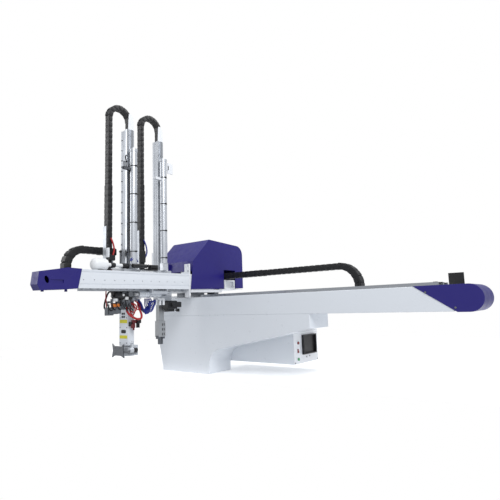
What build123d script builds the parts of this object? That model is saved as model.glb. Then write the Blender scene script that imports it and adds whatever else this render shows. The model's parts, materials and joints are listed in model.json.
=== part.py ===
from build123d import *
import math
import os

os.makedirs("parts", exist_ok=True)

# Axes: X runs along the traverse beam, Y points from the arms to the back, Z is up.
# The origin is the middle of the foot's underside, which bolts on a machine.

# Foot and base column
foot_length = 562
foot_depth = 267
foot_plate = 25
base_wall = 10
lean_low = (45, 214)
lean_top = 97
throat_height = 182
throat_radius = 145
arm_reach = 1240
arm_tip_height = 369
bolt_span_x = 460
bolt_span_y = 170
bolt_hole = 18

# Traverse beam
beam_bottom = 471
beam_height = 150
beam_wall = 8
beam_left = -378
beam_length = 2558
beam_right = beam_left + beam_length
end_plate = 6
cap_wall = 4
cap_proud = 3
cap_diagonal_top = beam_right - 220
cap_diagonal_low = beam_right + 18
cap_end = beam_right + 161
cap_screw_places = ((beam_right - 148, 585), (beam_right + 10, 493))
flag_x = (beam_right - 47, beam_right + 39)
flag_height = 74
rail_width = 23
rail_height = 22
rail_inset = 32
rack_side = 20
pinion_radius = 24
mesh_gap = 0.8

# Clearances
seat_gap = 0.3
run_gap = 0.8

# Control box
control_left = 205
control_right = 929
control_depth = 365
control_bottom = 76
control_top = 440
panel_thickness = 3
control_wall = 2
button_radius = 11
button_travel = 4
button_collar = 3
rocker_size = (12, 14, 28)
rocker_tilt = 8
rocker_slot = 2
socket_corner = (251, 142)
socket_side = (195, 152)
socket_depth = 22
socket_wall = 8

# Traverse carriage and its hood
plate_thick = 25
plate_x = (-100, 166)
plate_y = (-214, 175)
block_height = 36
block_side = 56
block_length = 84
hood_x = (-330, 172)
hood_foot_left = -110
hood_overhang = 900
hood_side_round = 60
hood_front = -218
hood_back = 466
hood_top = 1129
hood_wall = 3
hood_crease = (-189, 930)
hood_peak = 11
hood_back_top = 1097
hood_corner = 85
hood_mouth_left = -75
hood_mouth_top = 842
window_y = (196, 355)
window_top = 867

# Kick beam
kick_x = (76, 166)
kick_height = 126
kick_wall = 5
kick_rear = 60
kick_length = 1286
kick_front = kick_rear - kick_length
kick_groove = 4
kick_hole_pitch = 80
kick_hole_radius = 3.5
nose_proud = 4
nose_length = 259
nose_end = kick_front - nose_length
nose_bend = kick_front - 74
nose_hole = (24, 13)
nose_hole_place = (48, 62)
nose_wall = 3
kick_rail_width = 20
kick_rail_height = 15
kick_rail_levels = (32, 100)
kick_rail_y = (kick_front + 36, -240)

# Chains: width across, thickness in the bend's plane, bend radius to the middle
link_wall = 1.6
link_gap = 0.5
traverse_chain = {"width": 70, "thick": 52, "radius": 154}
kick_chain = {"width": 58, "thick": 57, "radius": 128.5}
lift_chain = {"width": 50, "thick": 42, "radius": 92}
traverse_bend_x = 1307
traverse_chain_y = (200, 270)
traverse_chain_top = 838
kick_bend_y = -1020
kick_chain_x = -107
kick_chain_top = 1018
kick_chain_end = -748
kick_tray_bracket = (kick_front, kick_front + 31)
kick_chain_post = ((-160, -112), (-792, -772))
lift_chain_x = -24

# Strokes
traverse_stroke = 1400
main_kick_stroke = 250
sub_kick_stroke = 80
main_lift_stroke = 1100
sub_lift_stroke = 1000

# Arms
arm_face = 6
arm_depth = 58
arm_wall = 5
slide_gap = 28
slide_plate = 14
slide_plate_top = 846
slide_plate_low = 600
slide_plate_length = 145
lift_rail_width = 20
lift_rail_height = 15
lift_block_length = 80
small_block_length = 60
small_block_side = 58
lift_motor_radius = 46
lift_motor_reach = (354, 253)
lift_gearbox_radius = 21
tube_x = 55
tube_radius = 28
tool_plate_thick = 8
tool_hole_radius = 3.3
shelf_thick = 8
shelf_gap = 26
chain_guide_height = 320
lift_rack_x = (-10, 10)
lift_rack_thick = 12
lift_pinion_radius = 18
kick_rack_x = (90, 106)
kick_rack_height = 16
kick_pinion_radius = 20
kick_cylinder_y = (-610, -450)
kick_cylinder_place = (135, 664)
main_top = 1971
sub_top = 1957
main = {"name": "main", "y": -695, "width": 90, "top": main_top, "low": 560, "bend": main_top + 63, "tube": (870, main_top - 176),
        "stroke": main_lift_stroke, "shelf_front": -940, "shelf_left": -168, "lead": 0.62}
sub = {"name": "sub", "y": -393, "width": 67, "top": sub_top, "low": 596, "bend": sub_top + 90, "tube": (905, sub_top - 173),
       "stroke": sub_lift_stroke, "shelf_front": -612, "shelf_left": -56, "lead": 0.5}

# Worked out from the above
base_front = -foot_depth / 2
base_back = foot_depth / 2
foot_right = foot_length / 2
beam_top = beam_bottom + beam_height
rail_top = beam_top + rail_height
block_low = beam_top + 8
block_top = block_low + block_height
plate_bottom = block_top
plate_top = plate_bottom + plate_thick
kick_bottom = plate_top
kick_top = kick_bottom + kick_height
slide_plate_x = (arm_face + slide_gap, arm_face + slide_gap + slide_plate)


def block(x, y, z):
    """A box between two values on each axis."""
    size = (x[1] - x[0], y[1] - y[0], z[1] - z[0])
    return Pos((x[0] + x[1]) / 2, (y[0] + y[1]) / 2, (z[0] + z[1]) / 2) * Box(*size)


def rod(axis, across, radius, span):
    """A round bar along an axis, at its place on the other two axes."""
    middle = (span[0] + span[1]) / 2
    bar = Cylinder(radius, span[1] - span[0])
    if axis == "x":
        return Pos(middle, across[0], across[1]) * Rot(0, 90, 0) * bar
    if axis == "y":
        return Pos(across[0], middle, across[1]) * Rot(90, 0, 0) * bar
    return Pos(across[0], across[1], middle) * bar


def outline(points, rounds=()):
    """A closed flat outline, with some corners rounded: each round is a corner's index and radius."""
    face = make_face(Polyline(*points, close=True))
    for index, radius in rounds:
        corner = Vector(*points[index])
        nearest = min(face.vertices(), key=lambda v: (Vector(v.X, v.Y) - corner).length)
        face = fillet(nearest, radius)
    return face


def along_y(face, y):
    """Carries an X-Z outline from the first to the second Y."""
    return extrude(Plane.XZ.offset(-y[1]) * face, amount=y[1] - y[0])


def along_x(face, x):
    """Carries a Y-Z outline from the first to the second X."""
    return extrude(Plane.YZ.offset(x[0]) * face, amount=x[1] - x[0])


def tube_box(x, y, z, wall, open_axis):
    """A rectangular tube, open along one axis."""
    grow = {axis: (wall if axis != open_axis else -wall) for axis in "xyz"}
    inner = [(span[0] + grow[axis], span[1] - grow[axis]) for axis, span in zip("xyz", (x, y, z))]
    return block(x, y, z) - block(*inner)


def hairpin(chain, leg_left, leg_right):
    """The loop's two flat outlines, centred on its middle: the full half ring, and the two slim legs."""
    radius = chain["radius"]
    thick = chain["thick"]
    ring = Circle(radius + thick / 2) - Circle(radius - thick / 2)
    reach = 2 * (radius + thick)
    ring -= Pos(0, -reach / 2) * Rectangle(reach, reach)
    legs = Pos(-radius, -leg_left / 2) * Rectangle(slim(thick), leg_left)
    legs += Pos(radius, -leg_right / 2) * Rectangle(slim(thick), leg_right)
    return ring, legs


def loop(chain, leg_left, leg_right, turned, centre, along, span):
    """A chain's loop: the half ring at full width and the legs that slide in the links."""
    ring, legs = hairpin(chain, leg_left, leg_right)
    place = Pos(*centre) * Rot(0, 0, turned)
    gap = link_wall + link_gap
    return along(place * ring, span) + along(place * legs, (span[0] + gap, span[1] - gap))


def slim(size):
    """The size of the inner leg that slides in a chain's outer links."""
    return size - 2 * (link_wall + link_gap)


def screw_heads(axis, places, radius, span):
    """A group of equal round heads."""
    return Compound(children=[rod(axis, place, radius, span) for place in places])


def write(name, shape):
    """Saves one node."""
    export_step(shape, f"parts/{name}.step")


def base():
    """The welded column: foot, throat and the long bracket under the beam, as one hollow box."""
    slope = (arm_tip_height - throat_height) / (arm_reach - foot_right)
    points = [
        (-foot_right, foot_plate),
        (foot_right, foot_plate),
        (foot_right, throat_height),
        (arm_reach, arm_tip_height),
        (arm_reach, beam_bottom),
        (-foot_right - lean_top, beam_bottom),
        (-foot_right - lean_low[0], lean_low[1]),
    ]
    shell = along_y(outline(points, [(2, throat_radius)]), (base_front, base_back))
    drop = base_wall / math.cos(math.atan(slope))
    inner = [
        (-foot_right + base_wall, foot_plate - 1),
        (foot_right - base_wall, foot_plate - 1),
        (foot_right - base_wall, throat_height + drop),
        (arm_reach - base_wall, arm_tip_height + drop),
        (arm_reach - base_wall, beam_bottom - base_wall),
        (-foot_right - lean_top + 2 * base_wall, beam_bottom - base_wall),
        (-foot_right - lean_low[0] + base_wall, lean_low[1]),
    ]
    room = along_y(outline(inner, [(2, throat_radius + base_wall)]), (base_front + base_wall, base_back - base_wall))
    plate = block((-foot_right, foot_right), (base_front, base_back), (0, foot_plate))
    for x in (-bolt_span_x / 2, bolt_span_x / 2):
        for y in (-bolt_span_y / 2, bolt_span_y / 2):
            plate -= rod("z", (x, y), bolt_hole / 2, (-1, foot_plate + 1))
    write("base_column", shell - room + plate)


def beam():
    """The traverse beam with its caps, rails, rack and end stops."""
    span = (beam_left + end_plate, beam_right)
    body = tube_box(span, (base_front, base_back), (beam_bottom, beam_top), beam_wall, "x")
    body += block((beam_left, span[0]), (base_front, base_back), (beam_bottom, beam_top))
    write("traverse_beam", body)

    round_radius = (beam_height + 2 * cap_proud) / 2 - 0.5
    low = beam_bottom - cap_proud
    high = beam_top + cap_proud
    points = [(cap_diagonal_top, high), (cap_diagonal_low, low), (cap_end, low), (cap_end, high)]
    cap_y = (base_front - cap_proud, base_back + cap_proud)
    cap = along_y(outline(points, [(2, round_radius), (3, round_radius)]), cap_y)
    cap -= block((cap_diagonal_top - 1, beam_right), (base_front, base_back), (beam_bottom, high + 1))
    hollow = [(beam_right - 1, low + cap_wall), (cap_end - cap_wall, low + cap_wall),
              (cap_end - cap_wall, high - cap_wall), (beam_right - 1, high - cap_wall)]
    inner_round = round_radius - cap_wall
    inner_y = (cap_y[0] + cap_wall, cap_y[1] - cap_wall)
    cap -= along_y(outline(hollow, [(1, inner_round), (2, inner_round)]), inner_y)
    write("beam_end_cap", cap)

    rail_x = (beam_left + 20, cap_diagonal_top + 140)
    rails = [block(rail_x, (y - rail_width / 2, y + rail_width / 2), (beam_top, rail_top)) for y in rail_lines()]
    rack = block(rail_x, (0, rack_side), (beam_top, beam_top + rack_side))
    write("traverse_rails", Compound(children=rails + [rack]))
    flag_foot = beam_top + cap_proud + 2
    flag = block(flag_x, (-4, 0), (flag_foot, beam_top + flag_height))
    flag += block((flag_x[0], beam_right - 4), (-4, 36), (beam_top, flag_foot + 1))
    stops = [end_stop(x, y) for x in (rail_x[0] + 12, rail_x[1] - 30) for y in (-50, 60)]
    write("end_stops", Compound(children=stops + [flag]))


def rail_lines():
    """The two rails' places across the beam."""
    return (base_front + rail_inset, base_back - rail_inset)


def end_stop(x, y):
    """A rubber bumper on a steel foot."""
    foot = block((x - 10, x + 10), (y - 14, y + 14), (beam_top, beam_top + 26))
    return foot + rod("x", (y, beam_top + 16), 8, (x - 20, x + 20))


def control_cabinet():
    """The control box on the column's back, with its end panel, switches and socket."""
    x = (control_left, control_right)
    y = (base_back, base_back + control_depth)
    z = (control_bottom, control_top)
    wall = control_wall
    body = block(x, y, z) - block((x[0] + wall, x[1] + 1), (y[0] + wall, y[1] - wall), (z[0] + wall, z[1] - wall))
    write("control_box", body)
    red, rocker, green = button_places()
    face = x[1] + panel_thickness
    half_slot = (rocker_size[1] / 2 + seat_gap, rocker_size[2] / 2 + rocker_slot)
    panel = block((x[1], face), y, z)
    panel -= block((x[1] - 1, face + 1), (rocker[0] - half_slot[0], rocker[0] + half_slot[0]),
                   (rocker[1] - half_slot[1], rocker[1] + half_slot[1]))
    for name, place in (("red_button", red), ("green_button", green)):
        panel += rod("x", place, button_radius + button_collar, (face, face + 2))
        panel -= rod("x", place, button_radius + run_gap, (x[1] - 1, face + 3))
        write(name, rod("x", place, button_radius, (x[1] - 14, face + 2 * button_travel)))
    write("control_panel", panel)
    write("rocker_switch", Pos(face - 1, *rocker) * Rot(0, -rocker_tilt, 0) * Box(*rocker_size))
    corner = socket_corner
    socket = tube_box((face, face + socket_depth), (corner[0], corner[0] + socket_side[0]),
                      (corner[1], corner[1] + socket_side[1]), socket_wall, "x")
    socket += block((face, face + 4), (corner[0], corner[0] + socket_side[0]), (corner[1], corner[1] + socket_side[1]))
    write("power_socket", socket)
    inset = 10
    screws = [(315, 118), (362, 122)]
    screws += [(side, level) for side in (y[0] + inset, y[1] - inset) for level in (z[0] + inset, z[1] - inset)]
    heads = screw_heads("x", screws, 5, (face, face + 3))
    cap_face = base_front - cap_proud
    cap_heads = screw_heads("y", cap_screw_places, 6, (cap_face - 3, cap_face))
    write("cover_screws", Compound(children=[heads, cap_heads]))


def button_places():
    """The places of the red button, the rocker and the green button on the end panel."""
    return (193, 236), (190, 175), (190, 112)


def chain_tray():
    """The tray behind the beam that carries the traverse chain's lower run."""
    y = traverse_chain_y
    low = traverse_low_run()
    floor_z = (low[0] - 6 - seat_gap, low[0] - seat_gap)
    x = (540, traverse_bend_x + traverse_stroke / 2 + 90)
    tray = block(x, (base_back, y[1] + 8), floor_z)
    tray += block(x, (y[1] + 4, y[1] + 8), (floor_z[0], floor_z[1] + 26))
    tray += block(x, (base_back, base_back + 4), (floor_z[0], floor_z[1] + 40))
    write("chain_tray", tray)


def traverse_low_run():
    """The lower run's lowest and highest level."""
    thick = traverse_chain["thick"]
    low = traverse_chain_top - 2 * traverse_chain["radius"] - thick
    return low, low + thick


def traverse_chain_parts():
    """Three pieces: the outer links at each end and the hairpin with its slim legs."""
    thick = traverse_chain["thick"]
    radius = traverse_chain["radius"]
    half = traverse_stroke / 2
    low = traverse_low_run()
    y = traverse_chain_y
    start = traverse_bend_x - half
    fixed = tube_box((start - 30, traverse_bend_x), y, low, link_wall, "x")
    write("traverse_chain_fixed", fixed)
    high = (traverse_chain_top - thick, traverse_chain_top)
    write("traverse_chain_moving", tube_box((hood_foot_left + 10, start), y, high, link_wall, "x"))
    centre = (traverse_bend_x, traverse_chain_top - thick / 2 - radius)
    write("traverse_chain_bend", loop(traverse_chain, half, half, -90, centre, along_y, y))


def carriage():
    """The traverse carriage: plate, guide blocks, motor, gearbox and pinion."""
    plate = block(plate_x, plate_y, (plate_bottom, plate_top))
    motor_x, motor_y = -45, rack_side + pinion_radius + mesh_gap
    plate -= rod("z", (motor_x, motor_y), pinion_radius + 6, (plate_bottom - 1, plate_top + 1))
    write("carriage_plate", plate)
    blocks = []
    for y in rail_lines():
        for x in (plate_x[0] + 4, plate_x[1] - 4 - block_length):
            blocks.append(guide_block((x, x + block_length), y))
    write("carriage_blocks", Compound(children=blocks))
    gearbox = block((motor_x - 38, motor_x + 38), (motor_y - 38, motor_y + 38), (plate_top, plate_top + 90))
    motor = block((motor_x - 33, motor_x + 33), (motor_y - 33, motor_y + 33), (plate_top + 90, plate_top + 240))
    motor += rod("z", (motor_x, motor_y), 30, (plate_top + 240, plate_top + 262))
    write("traverse_motor", Compound(children=[gearbox, motor]))
    pinion = rod("z", (motor_x, motor_y), pinion_radius, (beam_top + 1, beam_top + rack_side + 1))
    pinion += rod("z", (motor_x, motor_y), 10, (beam_top + rack_side, plate_top - 1))
    write("traverse_pinion", pinion)


def guide_block(x, y):
    """A guide block that straddles one of the beam's rails."""
    body = block(x, (y - block_side / 2, y + block_side / 2), (block_low, block_top))
    channel = rail_width / 2 + run_gap
    return body - block((x[0] - 1, x[1] + 1), (y - channel, y + channel), (block_low - 1, rail_top + run_gap))


def hood():
    """The sheet hood over the carriage, open below, with a mouth at the front and a side window."""
    points = [(hood_front, plate_top), hood_crease, (hood_peak, hood_top),
              (hood_back, hood_back_top), (hood_back, plate_top + 14)]
    outer = along_x(outline(points, [(3, hood_corner)]), hood_x)
    edges = [e for e in outer.edges() if abs(e.center().X - hood_x[0]) < 0.1 and e.center().Z > hood_crease[1] + 20]
    outer = fillet(edges, hood_side_round)
    wall = hood_wall
    inner_points = [(hood_front + wall, plate_top - 9), (hood_crease[0] + wall, hood_crease[1] - 1),
                    (hood_peak + 1, hood_top - wall - 1), (hood_back - wall, hood_back_top - wall),
                    (hood_back - wall, plate_top - 9)]
    inner = along_x(outline(inner_points, [(3, hood_corner - wall)]), (hood_x[0] + wall, hood_x[1] - wall))
    edges = [e for e in inner.edges() if abs(e.center().X - hood_x[0] - wall) < 0.1 and e.center().Z > hood_crease[1] + 20]
    inner = fillet(edges, hood_side_round - 2)
    shell = outer - inner
    mouth_x = (hood_mouth_left, hood_x[1] - wall)
    shell -= block(mouth_x, (hood_front - 5, hood_crease[0] + 20), (plate_bottom, hood_mouth_top))
    shell -= block((hood_x[1] - 10, hood_x[1] + 5), window_y, (plate_bottom, window_top))
    reach_y = (hood_front - 5, hood_back + 5)
    shell -= block((hood_x[0] - 5, hood_foot_left), reach_y, (plate_bottom, hood_overhang))
    shell += block((hood_foot_left, hood_foot_left + wall), (hood_front + 1, hood_back - 1), (plate_top + 14, hood_overhang + 20))
    write("carriage_hood", shell)
    inside_x = (hood_foot_left + wall, hood_x[1] - wall)
    floor = block(inside_x, (plate_y[1] - 35, hood_back - wall), (plate_top, plate_top + 4))
    chain_low = traverse_chain_top - traverse_chain["thick"]
    anchor = block((-60, 30), (traverse_chain_y[0] + 5, traverse_chain_y[1] - 5), (plate_top + 4, chain_low))
    box_y = (window_y[0] + 12, window_y[1] - 5)
    frame = tube_box((100, inside_x[1] - 1), box_y, (plate_top + 4, chain_low - 8), 14, "x")
    inner_y = (window_y[0] + 26, window_y[1] - 19)
    inner_z = (plate_top + 18, chain_low - 22)
    write("hood_floor", Compound(children=[floor + anchor, frame, block((104, 150), inner_y, inner_z)]))


def kick_beam_parts():
    """The cantilever beam that the arms run along, with its nose, rails and rack."""
    y = (kick_front, kick_rear)
    z = (kick_bottom, kick_top)
    body = tube_box(kick_x, y, z, kick_wall, "y")
    for level in (kick_bottom + 26, kick_top - 20):
        body -= block((kick_x[1] - 2, kick_x[1] + 1), (y[0] - 1, y[1] + 1), (level, level + kick_groove))
    first = nose_seam_low() + 40
    count = int((hood_front - 20 - first) / kick_hole_pitch) + 1
    for index in range(count):
        place = (first + index * kick_hole_pitch, kick_bottom + 56)
        body -= rod("x", place, kick_hole_radius, (kick_x[1] - kick_wall - 1, kick_x[1] + 1))
    write("kick_beam", body)

    rails = [block((kick_x[0] - kick_rail_height, kick_x[0]), kick_rail_y,
                   (kick_bottom + level - kick_rail_width / 2, kick_bottom + level + kick_rail_width / 2))
             for level in kick_rail_levels]
    rack = block(kick_rack_x, kick_rail_y, (kick_bottom - kick_rack_height, kick_bottom))
    write("kick_rails", Compound(children=rails + [rack]))

    clamp = block((kick_x[0] - 8, kick_x[1] + 2), (hood_front - 14, hood_front - 2), (kick_bottom - 62, kick_top + 86))
    clamp -= block((kick_x[0] - seat_gap, kick_x[1] + seat_gap), (hood_front - 20, hood_front + 4), (kick_bottom, kick_top))
    clamp -= block((kick_x[0] - 9, kick_x[0] + 34), (hood_front - 20, hood_front + 4), (kick_top + 20, kick_top + 90))
    clamp -= block((kick_x[0] - 9, kick_x[0] + 34), (hood_front - 20, hood_front + 4), (kick_bottom - 63, kick_bottom - 20))
    clamp -= rod("y", (150, kick_top + 68), 7, (hood_front - 20, hood_front + 4))
    write("beam_clamp", clamp)
    nose()


def nose_seam_low():
    """Where the nose ends on the beam's lower edge."""
    return kick_front - 4


def nose():
    """The hollow nose cap at the kick beam's free end, and its two rubber feet."""
    x = (kick_x[0] - nose_proud, kick_x[1] + nose_proud)
    low = kick_bottom - 10
    high = kick_top + 2
    seam = (kick_front + 22, nose_seam_low())
    points = [(nose_end, high - 26), (nose_bend, high + 4), (seam[0], high), (seam[1], low + 8), (nose_bend, low + 2),
              (nose_end + 8, low - 4), (nose_end - 10, low + 32)]
    body = along_x(outline(points), x)
    taper = outline([(x[1] + 1, nose_end - 20), (x[1] + 1, nose_bend - 30), (x[1] - 10, nose_end - 20)])
    body -= extrude(Pos(0, 0, low - 50) * taper, amount=250)
    inner = [(nose_end + 12, high - 26 - nose_wall), (nose_bend, high + 4 - nose_wall), (seam[0] - 1, high - nose_wall),
             (seam[1] + 30, high - nose_wall), (seam[1] + 30, low + 12), (nose_bend, low + 8), (nose_end + 12, low + 4)]
    body -= along_x(outline(inner), (x[0] + nose_wall, x[1] - 12))
    body -= block(kick_x, (kick_front, kick_front + 40), (kick_bottom, kick_top))
    place = (x[1] - 30, nose_end + nose_hole_place[0], low + nose_hole_place[1])
    body -= Pos(*place) * Rot(0, 90, 0) * Rot(0, 0, 20) * extrude(Ellipse(*nose_hole), amount=60)
    body -= block((x[1] - 6, x[1] + 1), (place[1] + 10, nose_bend - 30), (place[2] - 22, place[2]))
    for y in (nose_end + 40, nose_bend + 10):
        body += rod("z", (125, y), 9, (low - 12, low + 3))
    write("nose_cap", body)


def kick_chain_parts():
    """The chain that feeds the main arm: a tray on the beam, outer links at each end, and the hairpin."""
    thick = kick_chain["thick"]
    radius = kick_chain["radius"]
    half = main_kick_stroke / 2
    x = (kick_chain_x - kick_chain["width"], kick_chain_x)
    low = kick_chain_top - 2 * radius - thick
    write("kick_chain_fixed", tube_box(x, (kick_bend_y, kick_bend_y + half + 10), (low, low + thick), link_wall, "y"))
    start = kick_bend_y + half
    high = (kick_chain_top - thick, kick_chain_top)
    write("kick_chain_moving", tube_box(x, (start, kick_chain_end), high, link_wall, "y"))
    centre = (kick_bend_y, kick_chain_top - thick / 2 - radius)
    write("kick_chain_bend", loop(kick_chain, half, half, 90, centre, along_x, x))

    floor_z = (low - 4 - seat_gap, low - seat_gap)
    tray = block((x[0] - 4, x[1] + 4), (kick_bend_y - half - 165, kick_bend_y + half + 14), floor_z)
    tray += block((x[0] - 4, kick_x[0]), kick_tray_bracket, floor_z)
    tray += block((kick_x[0] - 4, kick_x[0]), kick_tray_bracket, (kick_bottom, floor_z[1]))
    write("kick_chain_tray", tray)


def slide(arm):
    """An arm's slide on the kick beam: upright plate, shelf for the lift chain and guide blocks."""
    name = arm["name"]
    y = arm["y"]
    front = y - slide_plate_length * arm["lead"]
    plate_y = (front, front + slide_plate_length)
    plate = block(slide_plate_x, plate_y, (slide_plate_low, slide_plate_top))
    shelf_y = (arm["shelf_front"], y - arm_depth / 2 - shelf_gap)
    plate += block((arm["shelf_left"], slide_plate_x[1]), shelf_y, (slide_plate_top - shelf_thick, slide_plate_top))
    chain_x, chain_y = lift_chain_box(arm)
    guide = (slide_plate_top - 1, slide_plate_top + chain_guide_height)
    plate += block((chain_x[0] - 4, chain_x[0] - 0.5), (chain_y[0] - 4, chain_y[1]), guide)
    plate += block((chain_x[0] - 4, chain_x[1] - 14), (chain_y[0] - 4, chain_y[0] - 0.5), guide)
    if name == "main":
        plate += block(*kick_chain_post, (slide_plate_top, kick_chain_top - kick_chain["thick"]))
    else:
        rod_y = kick_cylinder_y[1] + 30
        plate += block((slide_plate_x[0], kick_cylinder_place[0] + 8), (rod_y, rod_y + 12), (640, 671))
        plate += rod("y", kick_cylinder_place, 5, (kick_cylinder_y[1] - sub_kick_stroke - 30, rod_y))
    write(f"{name}_slide", plate)

    blocks = []
    for level in kick_rail_levels:
        for start in (plate_y[0] + 4, plate_y[1] - 4 - small_block_length):
            blocks.append(kick_block(kick_bottom + level, start))
    for low in (slide_plate_low + 20, slide_plate_top - 12 - lift_block_length):
        blocks.append(lift_block(y, low))
    write(f"{name}_guide_blocks", Compound(children=blocks))


def kick_block(z, start):
    """A guide block on a kick rail, starting at a place along the beam."""
    y = (start, start + small_block_length)
    body = block((slide_plate_x[1], kick_x[0] - 4), y, (z - small_block_side / 2, z + small_block_side / 2))
    channel = kick_rail_width / 2 + run_gap
    depth = (kick_x[0] - kick_rail_height - run_gap, kick_x[0])
    return body - block(depth, (y[0] - 1, y[1] + 1), (z - channel, z + channel))


def lift_block(y, low):
    """A guide block that the arm's rail runs through."""
    z = (low, low + lift_block_length)
    body = block((arm_face + 4, slide_plate_x[0]), (y - 27, y + 27), z)
    channel = lift_rail_width / 2 + run_gap
    depth = (arm_face, arm_face + lift_rail_height + run_gap)
    return body - block(depth, (y - channel, y + channel), (z[0] - 1, z[1] + 1))


def lift_chain_box(arm):
    """The lift chain's place on the shelf: its X and Y spans."""
    left = arm["y"] - 2 * lift_chain["radius"]
    half_width = lift_chain["width"] / 2
    half_thick = lift_chain["thick"] / 2
    return (lift_chain_x - half_width, lift_chain_x + half_width), (left - half_thick, left + half_thick)


def tube(arm):
    """The balance cylinder that stands on the slide's plate."""
    low, high = arm["tube"]
    y = arm["y"] - 12
    place = (tube_x, y)
    body = rod("z", place, tube_radius, (low, high)) - rod("z", place, tube_radius - 3, (low + 8, high - 8))
    body += block((slide_plate_x[0], tube_x + 20), (y - 25, y + 25), (slide_plate_top, low))
    write(f"{arm['name']}_cylinder", body)


def lift_chain_parts(arm):
    """An arm's lift chain: outer links on the shelf, the hairpin, and the end plate on the arm."""
    name = arm["name"]
    y = arm["y"]
    half = arm["stroke"] / 2
    x, span = lift_chain_box(arm)
    write(f"{name}_chain_fixed", tube_box(x, span, (slide_plate_top, arm["bend"] - half), link_wall, "z"))
    right_leg = half + arm["bend"] - arm["top"] + 30
    centre = (y - lift_chain["radius"], arm["bend"])
    write(f"{name}_chain_bend", loop(lift_chain, half, right_leg, 0, centre, along_x, x))
    top = arm["top"]
    points = [(y - 26, top), (y + 26, top), (y + 26, top + 90), (y + 4, top + 138), (y - 20, top + 128)]
    plate = along_x(outline(points, [(3, 20)]), (x[1] + 1, x[1] + 4))
    plate += block((x[1] + 1, arm_face), (y - 26, y + 26), (top, top + 4))
    write(f"{name}_chain_end", plate)


def arm_parts(arm):
    """The lifting profile with its rail, and its hollow lower box."""
    name = arm["name"]
    y = (arm["y"] - arm_depth / 2, arm["y"] + arm_depth / 2)
    x = (arm_face - arm["width"], arm_face)
    profile = tube_box(x, y, (arm["low"], arm["top"]), arm_wall, "z")
    for side in (x[0] + 20, x[1] - 26):
        profile -= block((side, side + 6), (y[0] - 1, y[0] + 2), (arm["low"] - 1, arm["top"] + 1))
    write(f"{name}_arm_profile", profile)
    span = (arm["low"] + 16, arm["top"] - 4)
    rail_y = (arm["y"] - lift_rail_width / 2, arm["y"] + lift_rail_width / 2)
    parts = [block((arm_face, arm_face + lift_rail_height), rail_y, span)]
    if name == "main":
        parts.append(block(lift_rack_x, (y[0] - lift_rack_thick, y[0]), span))
    write(f"{name}_lift_rail", Compound(children=parts))


def main_drive():
    """The lift motor that lies over the beam, the kick motor under it, and their pinions."""
    y = main["y"]
    centre = (slide_plate_x[0] + 2, slide_plate_top + 22)
    motor_y = (y - lift_motor_reach[0], y - lift_motor_reach[1])
    motor = rod("y", centre, lift_motor_radius, motor_y)
    pinion_y = y - arm_depth / 2 - lift_rack_thick - mesh_gap - lift_pinion_radius
    body = rod("y", centre, lift_gearbox_radius, (motor_y[1], y - arm_depth / 2 - 14))
    body += block((centre[0] - 18, slide_plate_x[1]), (y - 80, y - 50), (slide_plate_top, centre[1]))
    body -= rod("x", (pinion_y, centre[1]), 8 + run_gap, (lift_rack_x[1], centre[0]))
    write("lift_motor", Compound(children=[motor, body]))
    pinion = rod("x", (pinion_y, centre[1]), lift_pinion_radius, lift_rack_x)
    pinion += rod("x", (pinion_y, centre[1]), 8, (lift_rack_x[1] - 1, centre[0] - 4))
    write("lift_pinion", pinion)

    gear_y = (y - 105, y - 45)
    gearbox = block((slide_plate_x[1], 86), gear_y, (615, 672))
    wheel = (y - 75, kick_bottom - kick_rack_height - mesh_gap - kick_pinion_radius)
    gearbox -= rod("x", wheel, 8 + run_gap, (70, 87))
    write("kick_motor", Compound(children=[gearbox, rod("y", (64, 645), 30, (y - 195, gear_y[0]))]))
    pinion = rod("x", wheel, kick_pinion_radius, kick_rack_x) + rod("x", wheel, 8, (74, kick_rack_x[0] + 1))
    write("kick_pinion", pinion)
    body = rod("y", kick_cylinder_place, 16, kick_cylinder_y)
    body -= rod("y", kick_cylinder_place, 5 + run_gap, (kick_cylinder_y[0] + 10, kick_cylinder_y[1] + 1))
    for start in (kick_cylinder_y[0], kick_cylinder_y[1] - 14):
        body += block((kick_cylinder_place[0] - 17, kick_cylinder_place[0] + 17), (start, start + 14),
                      (kick_cylinder_place[1] + 8, kick_bottom))
    write("sub_kick_cylinder", body)


def hose(points, radius):
    """A round hose held at both ends, along runs joined by arcs as large as the runs allow."""
    radii = []
    for before, corner, after in zip(points, points[1:], points[2:]):
        a = Vector(*corner) - Vector(*before)
        b = Vector(*after) - Vector(*corner)
        turn = math.radians(a.get_angle(b))
        radii.append(0.45 * min(a.length, b.length) / math.tan(turn / 2))
    path = FilletPolyline(*points, radius=radii)
    start = Plane(origin=path @ 0, z_dir=path % 0)
    return sweep(start * Circle(radius), path=path)


def valves_and_hoses():
    """The vacuum valves, the post and the hoses that ride on the main slide."""
    y = main["y"]
    low = slide_plate_low
    shelf_bottom = slide_plate_top - shelf_thick
    post = (-25, y - 73)
    parts = [block((20, 62), (y - 143, y - 91), (low - 60, low))]
    parts.append(block((slide_plate_x[0] - 4, slide_plate_x[1] + 20), (y - 91, y - 49), (low - 40, low)))
    parts.append(block((24, 70), (y - 235, y - 151), (low - 88, low - 48)))
    parts[-1] += block((40, 54), (y - 153, y - 143), (low - 55, low - 48))
    parts.append(rod("z", post, 7, (slide_plate_top, slide_plate_top + 128)))
    write("main_valves", Compound(children=parts))
    thin = [(30, -230, low - 47.5), (30, -230, low - 20), (29, -236, low + 40), (27, -231, low + 95), (25, -211, low + 145),
            (24, -185, low + 192), (24, -185, shelf_bottom - 0.5)]
    thick = [(50, -70, low - 40.5), (50, -70, low - 72), (64, -53, low - 102), (84, -29, low - 124), (97, 1, low - 136),
             (95, 31, low - 128), (78, 45, low - 100), (57, 46, low - 67), (41, 40, low - 35), (41, 40, low - 0.5)]
    runs = [hose([(x, y + reach, z) for x, reach, z in points], radius) for points, radius in ((thin, 4), (thick, 8))]
    write("main_hoses", Compound(children=runs))


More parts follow.
